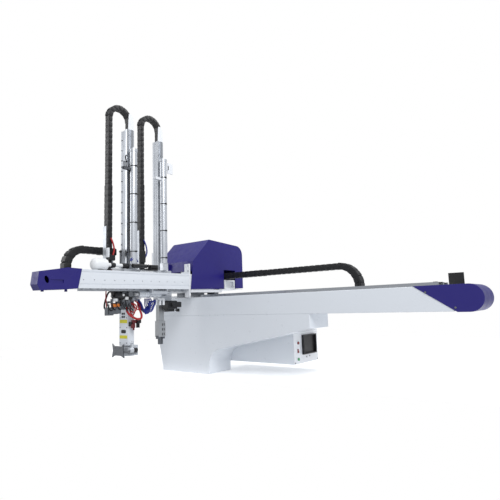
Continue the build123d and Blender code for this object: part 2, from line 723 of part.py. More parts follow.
def main_wrist():
    """The box at the arm's foot, the rotary unit under it and the tool plate that flips."""
    y = main["y"]
    box_x = (arm_face - 104, arm_face)
    box_y = (y - arm_depth / 2, y + arm_depth / 2)
    shell = tube_box(box_x, box_y, (275, main["low"]), 4, "z")
    for x in (-60, -38):
        for z in (509, 485):
            shell -= rod("y", (x, z), 6, (box_y[0] - 1, box_y[0] + 5))
    write("main_arm_box", shell)
    plate = block(box_x, box_y, (267, 275))
    plate += block((-62, -50), box_y, (188, 267)) + block((58, 66), (y - 20, y + 20), (200, 275))
    plate += block((arm_face - 1, 66), (y - 20, y + 20), (267, 275))
    axis = (y - 6, 228)
    for x in (-62, 58):
        plate -= rod("x", axis, 9 + seat_gap, (x - 1, x + 13))
    actuator = block((-49, 34), (y - 30, y + 24), (196, 262)) - rod("x", axis, 9 + seat_gap, (-51, 35))
    write("wrist_unit", Compound(children=[plate, actuator]))
    shaft = rod("x", axis, 9, (-68, 74))
    face_y = y - 75
    arms = block((-72, -66), (face_y, y + 6), (214, 242)) + block((72, 78), (face_y, y + 6), (214, 242))
    points = [(-112, 288), (-88, 270), (6, 270), (30, 288), (20, 238), (34, 184), (-2, 200), (-80, 200), (-116, 184),
              (-102, 238)]
    face = along_y(outline(points), (face_y - tool_plate_thick, face_y))
    for x in (-70, -12):
        for z in (218, 256):
            face -= rod("y", (x, z), tool_hole_radius, (face_y - tool_plate_thick - 1, face_y + 1))
    tool = face + block((-72, 78), (face_y, face_y + 6), (222, 236)) + arms + shaft
    write("tool_plate", tool)


def sub_gripper():
    """The runner gripper on the sub arm: a body with two jaws that close on each other."""
    y = sub["y"]
    foot = block((-34, arm_face), (y - 25, y + 25), (440, sub["low"]))
    foot -= block((-29, 1), (y - 20, y + 20), (446, sub["low"] + 1))
    body = block((-36, 14), (y - 34, y + 34), (312, 440)) - block((-30, 8), (y - 35, y + 35), (311, 322))
    write("gripper_body", Compound(children=[foot, body]))
    for name, side in (("gripper_jaw_left", -1), ("gripper_jaw_right", 1)):
        near, far = 8, 32
        root = block((-29, 7), tuple(sorted((y + side * near, y + side * far))), (296, 321.5))
        tip = block((-22, 0), tuple(sorted((y + side * near, y + side * (near + 10)))), (252, 296))
        write(name, root + tip)


base()
beam()
control_cabinet()
chain_tray()
traverse_chain_parts()
carriage()
hood()
kick_beam_parts()
kick_chain_parts()
for arm in (main, sub):
    slide(arm)
    tube(arm)
    lift_chain_parts(arm)
    arm_parts(arm)
main_drive()
valves_and_hoses()
main_wrist()
sub_gripper()
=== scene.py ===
# %% [markdown]
# # An injection moulding robot
# The robot stands on a moulding machine. A carriage under a blue hood runs along a long beam, and a second
# beam sticks out of it towards the viewer with two arms that dip into the mould. The sizes come from the
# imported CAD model, which is loaded first as a fixed frame. Everything below dresses that frame.

import json
import math

import bmesh
import bpy
import numpy as np
from mathutils import Matrix, Vector


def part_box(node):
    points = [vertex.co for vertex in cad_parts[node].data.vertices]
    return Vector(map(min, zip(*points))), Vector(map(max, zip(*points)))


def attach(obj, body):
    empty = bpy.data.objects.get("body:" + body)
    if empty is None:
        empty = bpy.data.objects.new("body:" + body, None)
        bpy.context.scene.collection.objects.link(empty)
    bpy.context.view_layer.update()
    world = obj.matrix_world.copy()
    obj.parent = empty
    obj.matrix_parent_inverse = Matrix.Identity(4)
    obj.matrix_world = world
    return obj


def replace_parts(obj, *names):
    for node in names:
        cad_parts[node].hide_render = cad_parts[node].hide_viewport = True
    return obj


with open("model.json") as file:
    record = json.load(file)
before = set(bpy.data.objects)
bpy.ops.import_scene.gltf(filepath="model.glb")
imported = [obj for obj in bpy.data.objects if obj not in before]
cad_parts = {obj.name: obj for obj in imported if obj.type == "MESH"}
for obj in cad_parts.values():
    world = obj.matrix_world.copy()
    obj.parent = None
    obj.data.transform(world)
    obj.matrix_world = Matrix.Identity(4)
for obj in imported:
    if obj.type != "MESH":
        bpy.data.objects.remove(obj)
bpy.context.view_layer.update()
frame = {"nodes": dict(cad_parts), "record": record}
nodes = frame["nodes"]
MM = 0.001


# %% [markdown]
# ## Shapes as arrays
# Every new piece is a surface that numpy works out: a flat outline that is carried along an axis, a profile
# that is turned round an axis, or a round section that is carried along a curve. All three are rings of
# points, so one function makes the faces of them all. A shape is kept as a pair of points and faces, so that
# many shapes can be put together into one piece before Blender sees them.

# %% Put shapes together
def together(*shapes):
    """One shape from several. The points are stacked, and each face's numbers move up by those before."""
    points, faces, start = [], [], 0
    for part_points, part_faces in shapes:
        points.append(np.asarray(part_points, float))
        faces.extend([tuple(int(i) + start for i in face) for face in part_faces])
        start += len(part_points)
    return np.concatenate(points), faces


def drum_faces(rings, sides):
    """Four-sided faces between neighbouring closed rings of points, and one face over each end."""
    ring, side = (a.ravel() for a in np.meshgrid(np.arange(rings - 1), np.arange(sides), indexing="ij"))
    here, ahead = ring * sides + side, ring * sides + (side + 1) % sides
    walls = np.stack([here, ahead, ahead + sides, here + sides], 1).tolist()
    return walls + [list(range(sides))[::-1], list(range((rings - 1) * sides, rings * sides))]


print("faces of a drum with three rings of eight points", len(drum_faces(3, 8)))

# %% [markdown]
# ### Carried outlines
# Much of a robot is sawn, milled or folded: blocks, plates and boxes. Each is a flat outline carried straight
# along one axis. Its two ends shrink a little, because a real edge is never razor sharp and the small slope
# catches the light. A bevel modifier could ease every edge, but this costs far fewer faces on small pieces.

# %% Carry an outline along an axis
AXES = {"x": (1, 2, 0), "y": (0, 2, 1), "z": (0, 1, 2)}
SHARPEST = 0.25  # keeps a mitre short on a very sharp corner


def area_of(outline):
    """Half the sum of each edge's cross product. It is positive when the outline runs anticlockwise."""
    ahead = np.roll(outline, -1, 0)
    return 0.5 * np.sum(outline[:, 0] * ahead[:, 1] - outline[:, 1] * ahead[:, 0])


def inset(outline, by):
    """Moves each corner inwards along its mitre, so that every edge shifts by the same distance."""
    edge_in, edge_out = outline - np.roll(outline, 1, 0), np.roll(outline, -1, 0) - outline
    n1 = np.stack([-edge_in[:, 1], edge_in[:, 0]], 1) / np.linalg.norm(edge_in, axis=1)[:, None]
    n2 = np.stack([-edge_out[:, 1], edge_out[:, 0]], 1) / np.linalg.norm(edge_out, axis=1)[:, None]
    mitre = (n1 + n2) / np.maximum(1 + np.sum(n1 * n2, 1), SHARPEST)[:, None]
    return outline + by * mitre


def prism(axis, outline, low, high, bevel):
    """A flat outline carried from low to high along an axis. Each end shrinks by the bevel."""
    flat = np.asarray(outline, float)
    if area_of(flat) < 0:
        flat = flat[::-1]
    bevel = min(bevel, 0.3 * (high - low))
    rings = [(low, 0), (high, 0)]
    if bevel:
        rings = [(low, bevel), (low + bevel, 0), (high - bevel, 0), (high, bevel)]
    u, v, w = AXES[axis]
    count = len(flat)
    points = np.zeros((len(rings), count, 3))
    for row, (level, shrink) in enumerate(rings):
        points[row][:, [u, v]] = inset(flat, shrink) if shrink else flat
        points[row][:, w] = level
    faces = drum_faces(len(rings), count)
    if axis == "y":  # x, z and y in this order are left-handed
        faces = [face[::-1] for face in faces]
    return points.reshape(-1, 3), faces


def rounded(u, v, radius=0.0, steps=3):
    """A rectangle between two values each way, with its corners as quarter circles."""
    (u0, u1), (v0, v1) = u, v
    if not radius:
        return np.array([(u0, v0), (u1, v0), (u1, v1), (u0, v1)], float)
    left, right, low, high = u0 + radius, u1 - radius, v0 + radius, v1 - radius
    parts = []
    for quarter, centre in enumerate([(right, high), (left, high), (left, low), (right, low)]):
        turn = np.linspace(0, np.pi / 2, steps + 1) + quarter * np.pi / 2
        parts.append(centre + radius * np.stack([np.cos(turn), np.sin(turn)], 1))
    return np.concatenate(parts)


def box(x, y, z, bevel=1.0):
    """A box between two values on each axis, with its lower and upper edges eased."""
    return prism("z", rounded(x, y), *z, bevel)


print("points of a box", len(box((0, 30), (0, 20), (0, 10))[0]))


# %% [markdown]
# ### Turned profiles
# Motors, cylinders, knobs and screws come off a lathe, so their surface is a profile that is turned by cosine
# and sine. A cylinder primitive would need its rims cut afterwards, while a profile has them from the start.

# %% Turn a profile round an axis
def lathe(axis, centre, profile, sides):
    """A profile of (place along the axis, radius) turned round by cosine and sine."""
    profile = np.asarray(profile, float)
    turn = np.linspace(0, 2 * np.pi, sides, endpoint=False)
    u, v, w = AXES[axis]
    points = np.zeros((len(profile), sides, 3))
    points[:, :, u] = centre[0] + profile[:, 1:2] * np.cos(turn)
    points[:, :, v] = centre[1] + profile[:, 1:2] * np.sin(turn)
    points[:, :, w] = profile[:, 0:1]
    faces = drum_faces(len(profile), sides)
    if (axis == "y") != (profile[-1, 0] < profile[0, 0]):
        faces = [face[::-1] for face in faces]
    return points.reshape(-1, 3), faces


def disc(axis, centre, radius, low, high, bevel=1.0, sides=24):
    """A short round bar with eased rims."""
    bevel = min(bevel, 0.4 * abs(high - low), 0.5 * radius)
    step = bevel if high > low else -bevel
    rims = [(low, radius - bevel), (low + step, radius), (high - step, radius), (high, radius - bevel)]
    return lathe(axis, centre, rims, sides)


def screw(axis, centre, level, radius, out):
    """A socket head screw: a low drum whose top steps down into a round socket."""
    height = radius * 0.9
    top = level + out * height
    profile = [(level, radius), (top - out * 0.4, radius), (top, radius * 0.9), (top, radius * 0.5),
               (level + out * height * 0.4, radius * 0.48)]
    return lathe(axis, centre, profile, 12)


print("points of a screw", len(screw("z", (0, 0), 0, 4, 1)[0]))

# %% [markdown]
# ### Hoses along curves
# A hose is a circle carried along a curve. A smooth curve through a few listed points follows the
# real hose's bends. The circle turns from point to point only as much as the curve does, so it never twists.
# Blender's curve objects could do this too, but an array can go into one piece with every other shape.

# %% Carry a round section along a curve
CURVE_STEP, HOSE_SIDES = 6.0, 10


def smooth_curve(points):
    """A Catmull-Rom curve: each span is a cubic whose end slopes are half the chords beside it."""
    points = np.asarray(points, float)
    ends = np.concatenate([[2 * points[0] - points[1]], points, [2 * points[-1] - points[-2]]])
    parts = []
    for a, b, c, d in zip(ends, ends[1:], ends[2:], ends[3:]):
        count = max(2, int(np.linalg.norm(c - b) / CURVE_STEP))
        t = np.linspace(0, 1, count, endpoint=False)[:, None]
        square, cube = 2 * a - 5 * b + 4 * c - d, 3 * b - a - 3 * c + d
        parts.append(0.5 * (2 * b + (c - a) * t + square * t**2 + cube * t**3))
    parts.append(points[-1:])
    return np.concatenate(parts)


def frames_along(path):
    """Two cross directions at each point of a path, turned from point to point only as the path turns."""
    tangent = np.gradient(path, axis=0)
    tangent /= np.linalg.norm(tangent, axis=1)[:, None]
    side = np.cross(tangent[0], (0.0, 0.0, 1.0))
    if np.linalg.norm(side) < 0.1:
        side = np.cross(tangent[0], (0.0, 1.0, 0.0))
    sides = []
    for direction in tangent:
        side = side - direction * side.dot(direction)
        side = side / np.linalg.norm(side)
        sides.append(side)
    sides = np.array(sides)
    return sides, np.cross(tangent, sides)


def tube(points, radius):
    """A round hose: circles of the radius along the curve."""
    path = smooth_curve(points)
    side, other = frames_along(path)
    turn = np.linspace(0, 2 * np.pi, HOSE_SIDES, endpoint=False)[None, :, None]
    ring = path[:, None] + radius * (np.cos(turn) * side[:, None] + np.sin(turn) * other[:, None])
    return ring.reshape(-1, 3), drum_faces(len(path), HOSE_SIDES)


print("points of a short hose", len(tube([(0, 0, 0), (0, 0, 50), (0, 50, 60)], 5)[0]))

# %% [markdown]
# ### From arrays to pieces
# A piece is one mesh with one finish that rides one moving body. Its points are already in their place, so
# its object stays at the origin and a pattern on Object coordinates runs the same way through every piece.

# %% Turn a shape into a Blender piece
FLAT_ANGLE, EDGE_ANGLE, CREASE_ANGLE = (math.radians(degrees) for degrees in (1, 30, 45))


def piece(name, shapes, material, body, smooth=30.0):
    """One mesh object in metres from a list of shapes. Edges sharper than the angle stay crisp."""
    points, faces = together(*shapes)
    mesh = bpy.data.meshes.new(name)
    mesh.from_pydata((np.asarray(points) * MM).tolist(), [], faces)
    mesh.materials.append(material)
    made = bpy.data.objects.new(name, mesh)
    bpy.context.scene.collection.objects.link(made)
    mesh.shade_smooth()
    mesh.set_sharp_from_angle(angle=math.radians(smooth))
    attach(made, body)
    print(name, "on", body, "has faces:", len(faces))
    return made


def dressed(node, material, body, width):
    """A copy of a CAD node with its doubles merged, its flat faces joined and its edges rounded."""
    mesh = nodes[node].data.copy()
    work = bmesh.new()
    work.from_mesh(mesh)
    bmesh.ops.remove_doubles(work, verts=work.verts, dist=1e-5)
    bmesh.ops.dissolve_limit(work, angle_limit=FLAT_ANGLE, verts=work.verts, edges=work.edges)
    work.to_mesh(mesh)
    work.free()
    mesh.materials.clear()
    mesh.materials.append(material)
    made = bpy.data.objects.new(node + "_skin", mesh)
    bpy.context.scene.collection.objects.link(made)
    edge = made.modifiers.new("rounded edges", "BEVEL")
    edge.width = width * MM
    edge.segments = 3
    edge.limit_method = "ANGLE"
    edge.angle_limit = EDGE_ANGLE
    edge.harden_normals = True
    edge.use_clamp_overlap = True
    mesh.shade_smooth()
    mesh.set_sharp_from_angle(angle=CREASE_ANGLE)
    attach(made, body)
    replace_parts(made, node)
    return made


def corners(node):
    """A CAD node's low and high corners in millimetres."""
    low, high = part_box(node)
    return np.array(low) / MM, np.array(high) / MM


beam_low, beam_high = corners("traverse_beam")
print("traverse beam in mm", beam_low.round(1), beam_high.round(1))


# %% [markdown]
# ## Finishes
# No finish on a machine is one flat colour. Paint has a fine orange skin, extruded aluminium is drawn along
# its length, and moulded plastic has a grain. Each of these is a node group that reads Object coordinates in
# metres and puts out a colour, a roughness and a height, so that one group serves many materials.

# %% A helper for node groups
def new_group(name, inputs, outputs):
    """A shader node group with named sockets. Returns the group, its input node and its output node."""
    group = bpy.data.node_groups.new(name, "ShaderNodeTree")
    for label, kind, value in inputs:
        socket = group.interface.new_socket(label, in_out="INPUT", socket_type="NodeSocket" + kind)
        if value is not None:
            socket.default_value = value
    for label, kind in outputs:
        group.interface.new_socket(label, in_out="OUTPUT", socket_type="NodeSocket" + kind)
    return group, group.nodes.new("NodeGroupInput"), group.nodes.new("NodeGroupOutput")


def noise(group, vector, scale, detail, rough=0.5):
    """A noise texture fed by a vector. The scale is a number or a socket."""
    node = group.nodes.new("ShaderNodeTexNoise")
    node.inputs["Detail"].default_value = detail
    node.inputs["Roughness"].default_value = rough
    group.links.new(vector, node.inputs["Vector"])
    if isinstance(scale, (int, float)):
        node.inputs["Scale"].default_value = scale
    else:
        group.links.new(scale, node.inputs["Scale"])
    return node.outputs["Fac"]


def spread(group, value, low, high, from_low=0.3, from_high=0.7):
    """Stretches a value from one range to another and clamps it."""
    node = group.nodes.new("ShaderNodeMapRange")
    group.links.new(value, node.inputs["Value"])
    for label, bound in (("From Min", from_low), ("From Max", from_high), ("To Min", low), ("To Max", high)):
        node.inputs[label].default_value = bound
    return node.outputs["Result"]


def mixed(group, share, a, b):
    """Mixes two colours by a share. The colours go in at sockets 6 and 7 and come out at socket 2."""
    node = group.nodes.new("ShaderNodeMix")
    node.data_type = "RGBA"
    group.links.new(share, node.inputs["Factor"])
    group.links.new(a, node.inputs[6])
    group.links.new(b, node.inputs[7])
    return node.outputs[2]


def worked(group, operation, a, b):
    """One arithmetic step on two sockets."""
    node = group.nodes.new("ShaderNodeMath")
    node.operation = operation
    group.links.new(a, node.inputs[0])
    group.links.new(b, node.inputs[1])
    return node.outputs[0]


def give(group, result, **sockets):
    """Links sockets to the group's outputs by name."""
    for label, socket in sockets.items():
        group.links.new(socket, result.inputs[label])


SURFACE = [("Color", "Color"), ("Roughness", "Float"), ("Height", "Float")]
print("each finish puts out", [label for label, kind in SURFACE])

# %% [markdown]
# ### Paint
# The column, the beams and the hood are sprayed and baked. Baked paint is smooth but not flat: it has a fine
# orange skin, its gloss changes a little from place to place, and dust settles on the faces that look up. A
# picture of paint could be laid over the faces, but noise in space has no seams at the corners.

# %% Paint with a fine orange skin
paint_skin, given, result = new_group("paint skin", [
    ("Vector", "Vector", None), ("Colour", "Color", (1, 1, 1, 1)), ("Dusty Colour", "Color", (1, 1, 1, 1)),
    ("Roughness", "Float", 0.3), ("Dust", "Float", 0.3)], SURFACE)
place = given.outputs["Vector"]
cloud = noise(paint_skin, place, 5.0, 4.0)
geometry = paint_skin.nodes.new("ShaderNodeNewGeometry")
upward = paint_skin.nodes.new("ShaderNodeSeparateXYZ")
paint_skin.links.new(geometry.outputs["Normal"], upward.inputs[0])
top = spread(paint_skin, upward.outputs["Z"], 0.25, 1.0, 0.2, 0.95)
settled = worked(paint_skin, "MULTIPLY", spread(paint_skin, cloud, 0.1, 1.0), top)
share = worked(paint_skin, "MULTIPLY", settled, given.outputs["Dust"])
rub = spread(paint_skin, noise(paint_skin, place, 22.0, 5.0), -0.06, 0.1)
give(paint_skin, result,
     Color=mixed(paint_skin, share, given.outputs["Colour"], given.outputs["Dusty Colour"]),
     Roughness=worked(paint_skin, "ADD", given.outputs["Roughness"], rub),
     Height=noise(paint_skin, place, 420.0, 2.0))
print("paint skin nodes", len(paint_skin.nodes))

# %% [markdown]
# ### Drawn metal
# Rails, arms and cylinders are drawn or ground along their length. Noise that is squeezed across the length
# and left long along it gives that grain. Its contrast is low, because anodised aluminium looks almost even.

# %% Metal with a drawn grain
drawn_grain, given, result = new_group("drawn grain", [
    ("Vector", "Vector", None), ("Stretch", "Vector", (60, 60, 2)), ("Colour", "Color", (1, 1, 1, 1)),
    ("Dark Colour", "Color", (0, 0, 0, 1)), ("Roughness", "Float", 0.35),
    ("Contrast", "Float", 0.5)], SURFACE)
place = given.outputs["Vector"]
pulled = drawn_grain.nodes.new("ShaderNodeVectorMath")
pulled.operation = "MULTIPLY"
drawn_grain.links.new(place, pulled.inputs[0])
drawn_grain.links.new(given.outputs["Stretch"], pulled.inputs[1])
streak = noise(drawn_grain, pulled.outputs[0], 4.0, 6.0, 0.65)
blotch = spread(drawn_grain, noise(drawn_grain, place, 9.0, 3.0), -0.04, 0.06)
depth = worked(drawn_grain, "MULTIPLY", spread(drawn_grain, streak, 0.0, 1.0), given.outputs["Contrast"])
tone = worked(drawn_grain, "ADD", spread(drawn_grain, streak, -0.08, 0.1), blotch)
give(drawn_grain, result,
     Color=mixed(drawn_grain, depth, given.outputs["Colour"], given.outputs["Dark Colour"]),
     Roughness=worked(drawn_grain, "ADD", given.outputs["Roughness"], tone), Height=streak)
print("drawn grain nodes", len(drawn_grain.nodes))

# %% [markdown]
# ### Plastic and rubber
# Chain links, hoses and buttons are moulded. The mould leaves a very fine grain, and handling leaves worn
# patches. Both are noise: one at a small scale for the height, one at a larger scale for the colour.

# %% Moulded plastic and rubber
moulded_grain, given, result = new_group("moulded grain", [
    ("Vector", "Vector", None), ("Colour", "Color", (1, 1, 1, 1)), ("Worn Colour", "Color", (1, 1, 1, 1)),
    ("Roughness", "Float", 0.5), ("Grain Scale", "Float", 900.0), ("Wear", "Float", 0.3)], SURFACE)
place = given.outputs["Vector"]
scuff = noise(moulded_grain, place, 34.0, 6.0, 0.7)
patches = spread(moulded_grain, scuff, 0.0, 1.0, 0.5, 0.75)
worn = worked(moulded_grain, "MULTIPLY", patches, given.outputs["Wear"])
sheen = spread(moulded_grain, scuff, -0.08, 0.12)
give(moulded_grain, result,
     Color=mixed(moulded_grain, worn, given.outputs["Colour"], given.outputs["Worn Colour"]),
     Roughness=worked(moulded_grain, "ADD", given.outputs["Roughness"], sheen),
     Height=noise(moulded_grain, place, given.outputs["Grain Scale"], 2.0))
print("moulded grain nodes", len(moulded_grain.nodes))

# %% [markdown]
# ### From groups to materials
# Each material places one group with its own colours and numbers and joins it to a Principled shader. The
# shader stays outside the group, so that its metallic share and its coat can differ from one to the next.

# %% A material from a group
GRAIN_DEPTH = 0.0004


def finish(name, group, values, bump, metallic=0.0, coat=0.0):
    """A Principled material whose colour, roughness and bump come from one group on Object coordinates."""
    material = bpy.data.materials.new(name)
    material.use_nodes = True
    tree = material.node_tree
    shader = tree.nodes["Principled BSDF"]
    place = tree.nodes.new("ShaderNodeTexCoord")
    pattern = tree.nodes.new("ShaderNodeGroup")
    pattern.node_tree = group
    tree.links.new(place.outputs["Object"], pattern.inputs["Vector"])
    for label, value in values.items():
        pattern.inputs[label].default_value = value
    relief = tree.nodes.new("ShaderNodeBump")
    relief.inputs["Strength"].default_value = bump
    relief.inputs["Distance"].default_value = GRAIN_DEPTH
    tree.links.new(pattern.outputs["Height"], relief.inputs["Height"])
    tree.links.new(pattern.outputs["Color"], shader.inputs["Base Color"])
    tree.links.new(pattern.outputs["Roughness"], shader.inputs["Roughness"])
    tree.links.new(relief.outputs["Normal"], shader.inputs["Normal"])
    shader.inputs["Metallic"].default_value = metallic
    shader.inputs["Coat Weight"].default_value = coat
    shader.inputs["Coat Roughness"].default_value = 0.08
    return material


def shade(red, green, blue):
    """A colour from screen values out of 255, turned to the linear values that shaders use."""
    value = np.array([red, green, blue]) / 255
    linear = np.where(value <= 0.04045, value / 12.92, ((value + 0.055) / 1.055) ** 2.4)
    return (*[float(v) for v in linear], 1.0)


def painted(name, colour, dusty, roughness=0.32, dust=0.3, coat=0.2):
    """Sprayed and baked paint."""
    values = {"Colour": shade(*colour), "Dusty Colour": shade(*dusty), "Roughness": roughness, "Dust": dust}
    return finish(name, paint_skin, values, bump=0.12, coat=coat)


def metal(name, colour, dark, stretch, roughness, contrast, metallic=1.0):
    """Bare or anodised metal with its grain stretched along one axis."""
    values = {"Colour": shade(*colour), "Dark Colour": shade(*dark), "Stretch": stretch,
              "Roughness": roughness, "Contrast": contrast}
    return finish(name, drawn_grain, values, bump=0.02, metallic=metallic)


def moulded(name, colour, worn, roughness, grain=900.0, wear=0.35, coat=0.0):
    """Moulded plastic or rubber."""
    values = {"Colour": shade(*colour), "Worn Colour": shade(*worn), "Roughness": roughness,
              "Grain Scale": grain, "Wear": wear}
    return finish(name, moulded_grain, values, bump=0.15, coat=coat)


print("middle grey in linear light", round(shade(128, 128, 128)[0], 3))

# %% The robot's own finishes
ALONG_X, ALONG_Y, ALONG_Z, EVEN_FINE, EVEN = (1, 90, 90), (90, 1, 90), (90, 90, 1), (40, 40, 40), (30, 30, 30)
frame_paint = painted("frame paint", (222, 227, 234), (205, 207, 208))
panel_paint = painted("panel paint", (232, 235, 240), (214, 215, 214), 0.38)
hood_blue = painted("hood blue", (28, 20, 112), (40, 36, 104), 0.42, 0.12, 0.04)
arm_silver = metal("arm silver", (186, 190, 196), (166, 170, 177), ALONG_Z, 0.42, 0.3, 0.45)
cylinder_silver = metal("cylinder silver", (212, 216, 222), (190, 195, 202), ALONG_Z, 0.28, 0.25, 0.6)
plate_silver = metal("plate silver", (206, 210, 216), (180, 185, 192), ALONG_X, 0.38, 0.3, 0.6)
rail_steel = metal("rail steel", (196, 199, 204), (120, 124, 130), ALONG_X, 0.24, 0.4)
lift_rail_steel = metal("lift rail steel", (196, 199, 204), (112, 118, 124), ALONG_Z, 0.24, 0.4)
kick_rail_steel = metal("kick rail steel", (196, 199, 204), (112, 118, 124), ALONG_Y, 0.24, 0.4)
screw_steel = metal("screw steel", (150, 152, 156), (70, 72, 76), EVEN_FINE, 0.3, 0.6)
black_screw = metal("black screw", (52, 52, 56), (18, 18, 20), EVEN_FINE, 0.38, 0.6)
gunmetal = metal("gunmetal", (124, 127, 132), (78, 81, 86), EVEN, 0.36, 0.5)
tool_grey = metal("tool grey", (142, 144, 148), (90, 92, 96), ALONG_X, 0.42, 0.5)
gripper_grey = metal("gripper grey", (176, 178, 180), (140, 142, 146), ALONG_Z, 0.4, 0.4, 0.6)
chain_black = moulded("chain black", (17, 17, 20), (46, 46, 50), 0.4, 700.0, 0.35)
motor_black = moulded("motor black", (22, 22, 25), (60, 60, 64), 0.4, 500.0, 0.3)
rubber_black = moulded("rubber black", (18, 18, 19), (50, 49, 47), 0.62, 1100.0, 0.4)
white_plastic = moulded("white plastic", (232, 234, 236), (206, 206, 202), 0.34, 800.0, 0.3)
hose_red = moulded("hose red", (168, 28, 30), (120, 26, 28), 0.34, 900.0, 0.4)
hose_dark_red = moulded("hose dark red", (104, 24, 28), (70, 22, 24), 0.42, 900.0, 0.4)
hose_blue = moulded("hose blue", (32, 44, 132), (24, 34, 96), 0.3, 900.0, 0.35)
orange_plastic = moulded("orange plastic", (214, 122, 44), (172, 98, 40), 0.4)
button_red = moulded("button red", (128, 20, 26), (90, 18, 22), 0.28, coat=0.4)
button_green = moulded("button green", (44, 150, 84), (30, 110, 62), 0.28, coat=0.4)
band_yellow = moulded("band yellow", (214, 206, 40), (180, 174, 50), 0.42)
print("finishes", len(bpy.data.materials))


# %% [markdown]
# ## Energy chains
# A cable chain is the same link again and again. One link has two side plates with rounded ends that overlap
# the next pair like scales, a bar across the outside, a bar across the inside and the dark of the cables in
# its middle. Its points are worked out once and placed at every step along the chain's path in one numpy
# expression, so that no link is made by hand.

# %% One link
PLATE_REACH, PIN_BACK, BAR_REACH, CORE_REACH = 0.6, 0.28, 0.24, 0.5  # shares of the pitch
PLATE_FACE, PLATE_EDGE, PLATE_BACK = 0.8, 2.2, 5.5  # how far in from the link's side they lie
CORE_INSET, BAR_DEPTHS = (5, 2.5), (3.2, 0.3)
FULLNESS, CROWN = (0.55, 0.3), (0.88, 0.9)  # powers below one fill a circle out towards a rectangle
LINK_WALL, LINK_GAP = 1.6, 0.5
LINK_OVERLAP, BEND_PITCH = 1.02, 0.9
END_POINTS = 12


def link_shape(pitch, width, thick):
    """One link: s along the chain, w across it and t outwards. Each plate leans in towards its tail."""
    half, reach = width / 2, PLATE_REACH * pitch
    turn = np.linspace(0, 2 * np.pi, END_POINTS, endpoint=False) + np.pi / END_POINTS
    circle = np.stack([np.cos(turn), np.sin(turn)], 1)
    rim = np.sign(circle) * np.abs(circle) ** FULLNESS * [reach, thick / 2]
    crown = rim * CROWN
    lean = LINK_WALL * (0.5 - rim[:, 0] / (2 * reach))
    depths = PLATE_FACE + lean, PLATE_EDGE + lean, np.full(END_POINTS, PLATE_BACK)
    shapes = []
    for side in (-1, 1):
        rows = [np.column_stack([ring[:, 0], side * (half - depth), ring[:, 1]])
                for ring, depth in zip((crown, rim, rim), depths)]
        faces = drum_faces(len(rows), END_POINTS)
        if side > 0:
            faces = [face[::-1] for face in faces]
        shapes.append((np.concatenate(rows), faces))
        pin = side * (half - 1.6), side * (half - 0.1)
        shapes.append(disc("y", (-PIN_BACK * pitch, 0), thick * 0.17, *pin, 0.4, 8))
    for top in (-1, 1):
        level = sorted(top * (thick / 2 - depth) for depth in BAR_DEPTHS)
        shapes.append(box((-BAR_REACH * pitch, BAR_REACH * pitch), (3 - half, half - 3), level, 0.6))
    across, out = half - CORE_INSET[0], thick / 2 - CORE_INSET[1]
    shapes.append(box((-CORE_REACH * pitch, CORE_REACH * pitch), (-across, across), (-out, out), 0))
    return together(*shapes)


print("points in a link", len(link_shape(46, 50, 42)[0]))


# %% [markdown]
# ### From one link to a chain
# A chain lies straight, bends round a half circle and lies straight again. When its axis moves, the real bend
# rolls along link by link. A rigid piece can't do that, so the loop is a piece of its own that moves half as
# far as the axis, and its two slim legs slide inside the wider links of the two runs.

# %% Links along a path
def chain(places, run, outward, across, size):
    """Each link's points are its place plus s, w and t times the path's three directions."""
    points, faces = link_shape(*size)
    place, along, out = (np.asarray(a, float)[:, None] for a in (places, run, outward))
    cross = np.asarray(across, float)[None, None]
    moved = place + points[None, :, 0:1] * along + points[None, :, 1:2] * cross + points[None, :, 2:3] * out
    count = len(points)
    many = [[i + k * count for i in face] for k in range(len(places)) for face in faces]
    return moved.reshape(-1, 3), many


def straight_chain(begin, end, outward, across, size):
    """Links along a straight line, as many whole ones as fit at about the pitch."""
    pitch, width, thick = size
    begin, end = np.asarray(begin, float), np.asarray(end, float)
    length = np.linalg.norm(end - begin)
    count = max(1, round(length / pitch))
    share = (np.arange(count) + 0.5) / count
    run = np.tile((end - begin) / length, (count, 1))
    places = begin + share[:, None] * (end - begin)
    fitted = (length / count / LINK_OVERLAP, width, thick)
    return chain(places, run, np.tile(outward, (count, 1)), across, fitted)


def bend_chain(centre, first, second, across, radius, size):
    """Links round a half circle from first through second: the radius times cosine and sine."""
    pitch, width, thick = size[0] * BEND_PITCH, size[1], size[2]
    count = max(3, round(math.pi * radius / pitch))
    angle = (np.arange(count) + 0.5) / count * math.pi
    out = np.cos(angle)[:, None] * first + np.sin(angle)[:, None] * second
    run = -np.sin(angle)[:, None] * first + np.cos(angle)[:, None] * second
    return chain(centre + radius * out, run, out, across, (pitch, width, thick))


def loop_of(centre, first, second, radius, legs, across, size):
    """A chain's loop: a slim leg, a half circle and the other slim leg. The legs slide inside wider links."""
    centre, first, second = (np.asarray(a, float) for a in (centre, first, second))
    near, far = centre + radius * first, centre - radius * first
    pitch, width, thick = size
    less = 2 * (LINK_WALL + LINK_GAP)
    slim = (pitch, width - less, thick - less)
    return [straight_chain(near - legs[0] * second, near, first, across, slim),
            bend_chain(centre, first, second, across, radius, size),
            straight_chain(far, far - legs[1] * second, -first, across, slim)]


RIGHTWARD, FORWARD_Y, BACKWARD_Y, UP, DOWNWARD = (1, 0, 0), (0, 1, 0), (0, -1, 0), (0, 0, 1), (0, 0, -1)
run = straight_chain((0, 0, 0), (460, 0, 0), UP, FORWARD_Y, (46, 50, 42))
print("points in ten links", len(run[0]))

# %% [markdown]
# ### The robot's four chains
# A lift chain stands beside each arm: one run on the slide, the loop over the top, and the other run down
# inside the arm. The kick chain lies on the kick beam and the traverse chain behind the long beam. All four
# are the same link in their own size, so only the places of the runs and the bends are written down.

# %% The two lift chains
LIFT_SIZE, LIFT_X, LIFT_RADIUS, SHELF_TOP, LEG_IN_ARM = (46.0, 50.0, 42.0), -24.0, 92.0, 846.0, 300.0
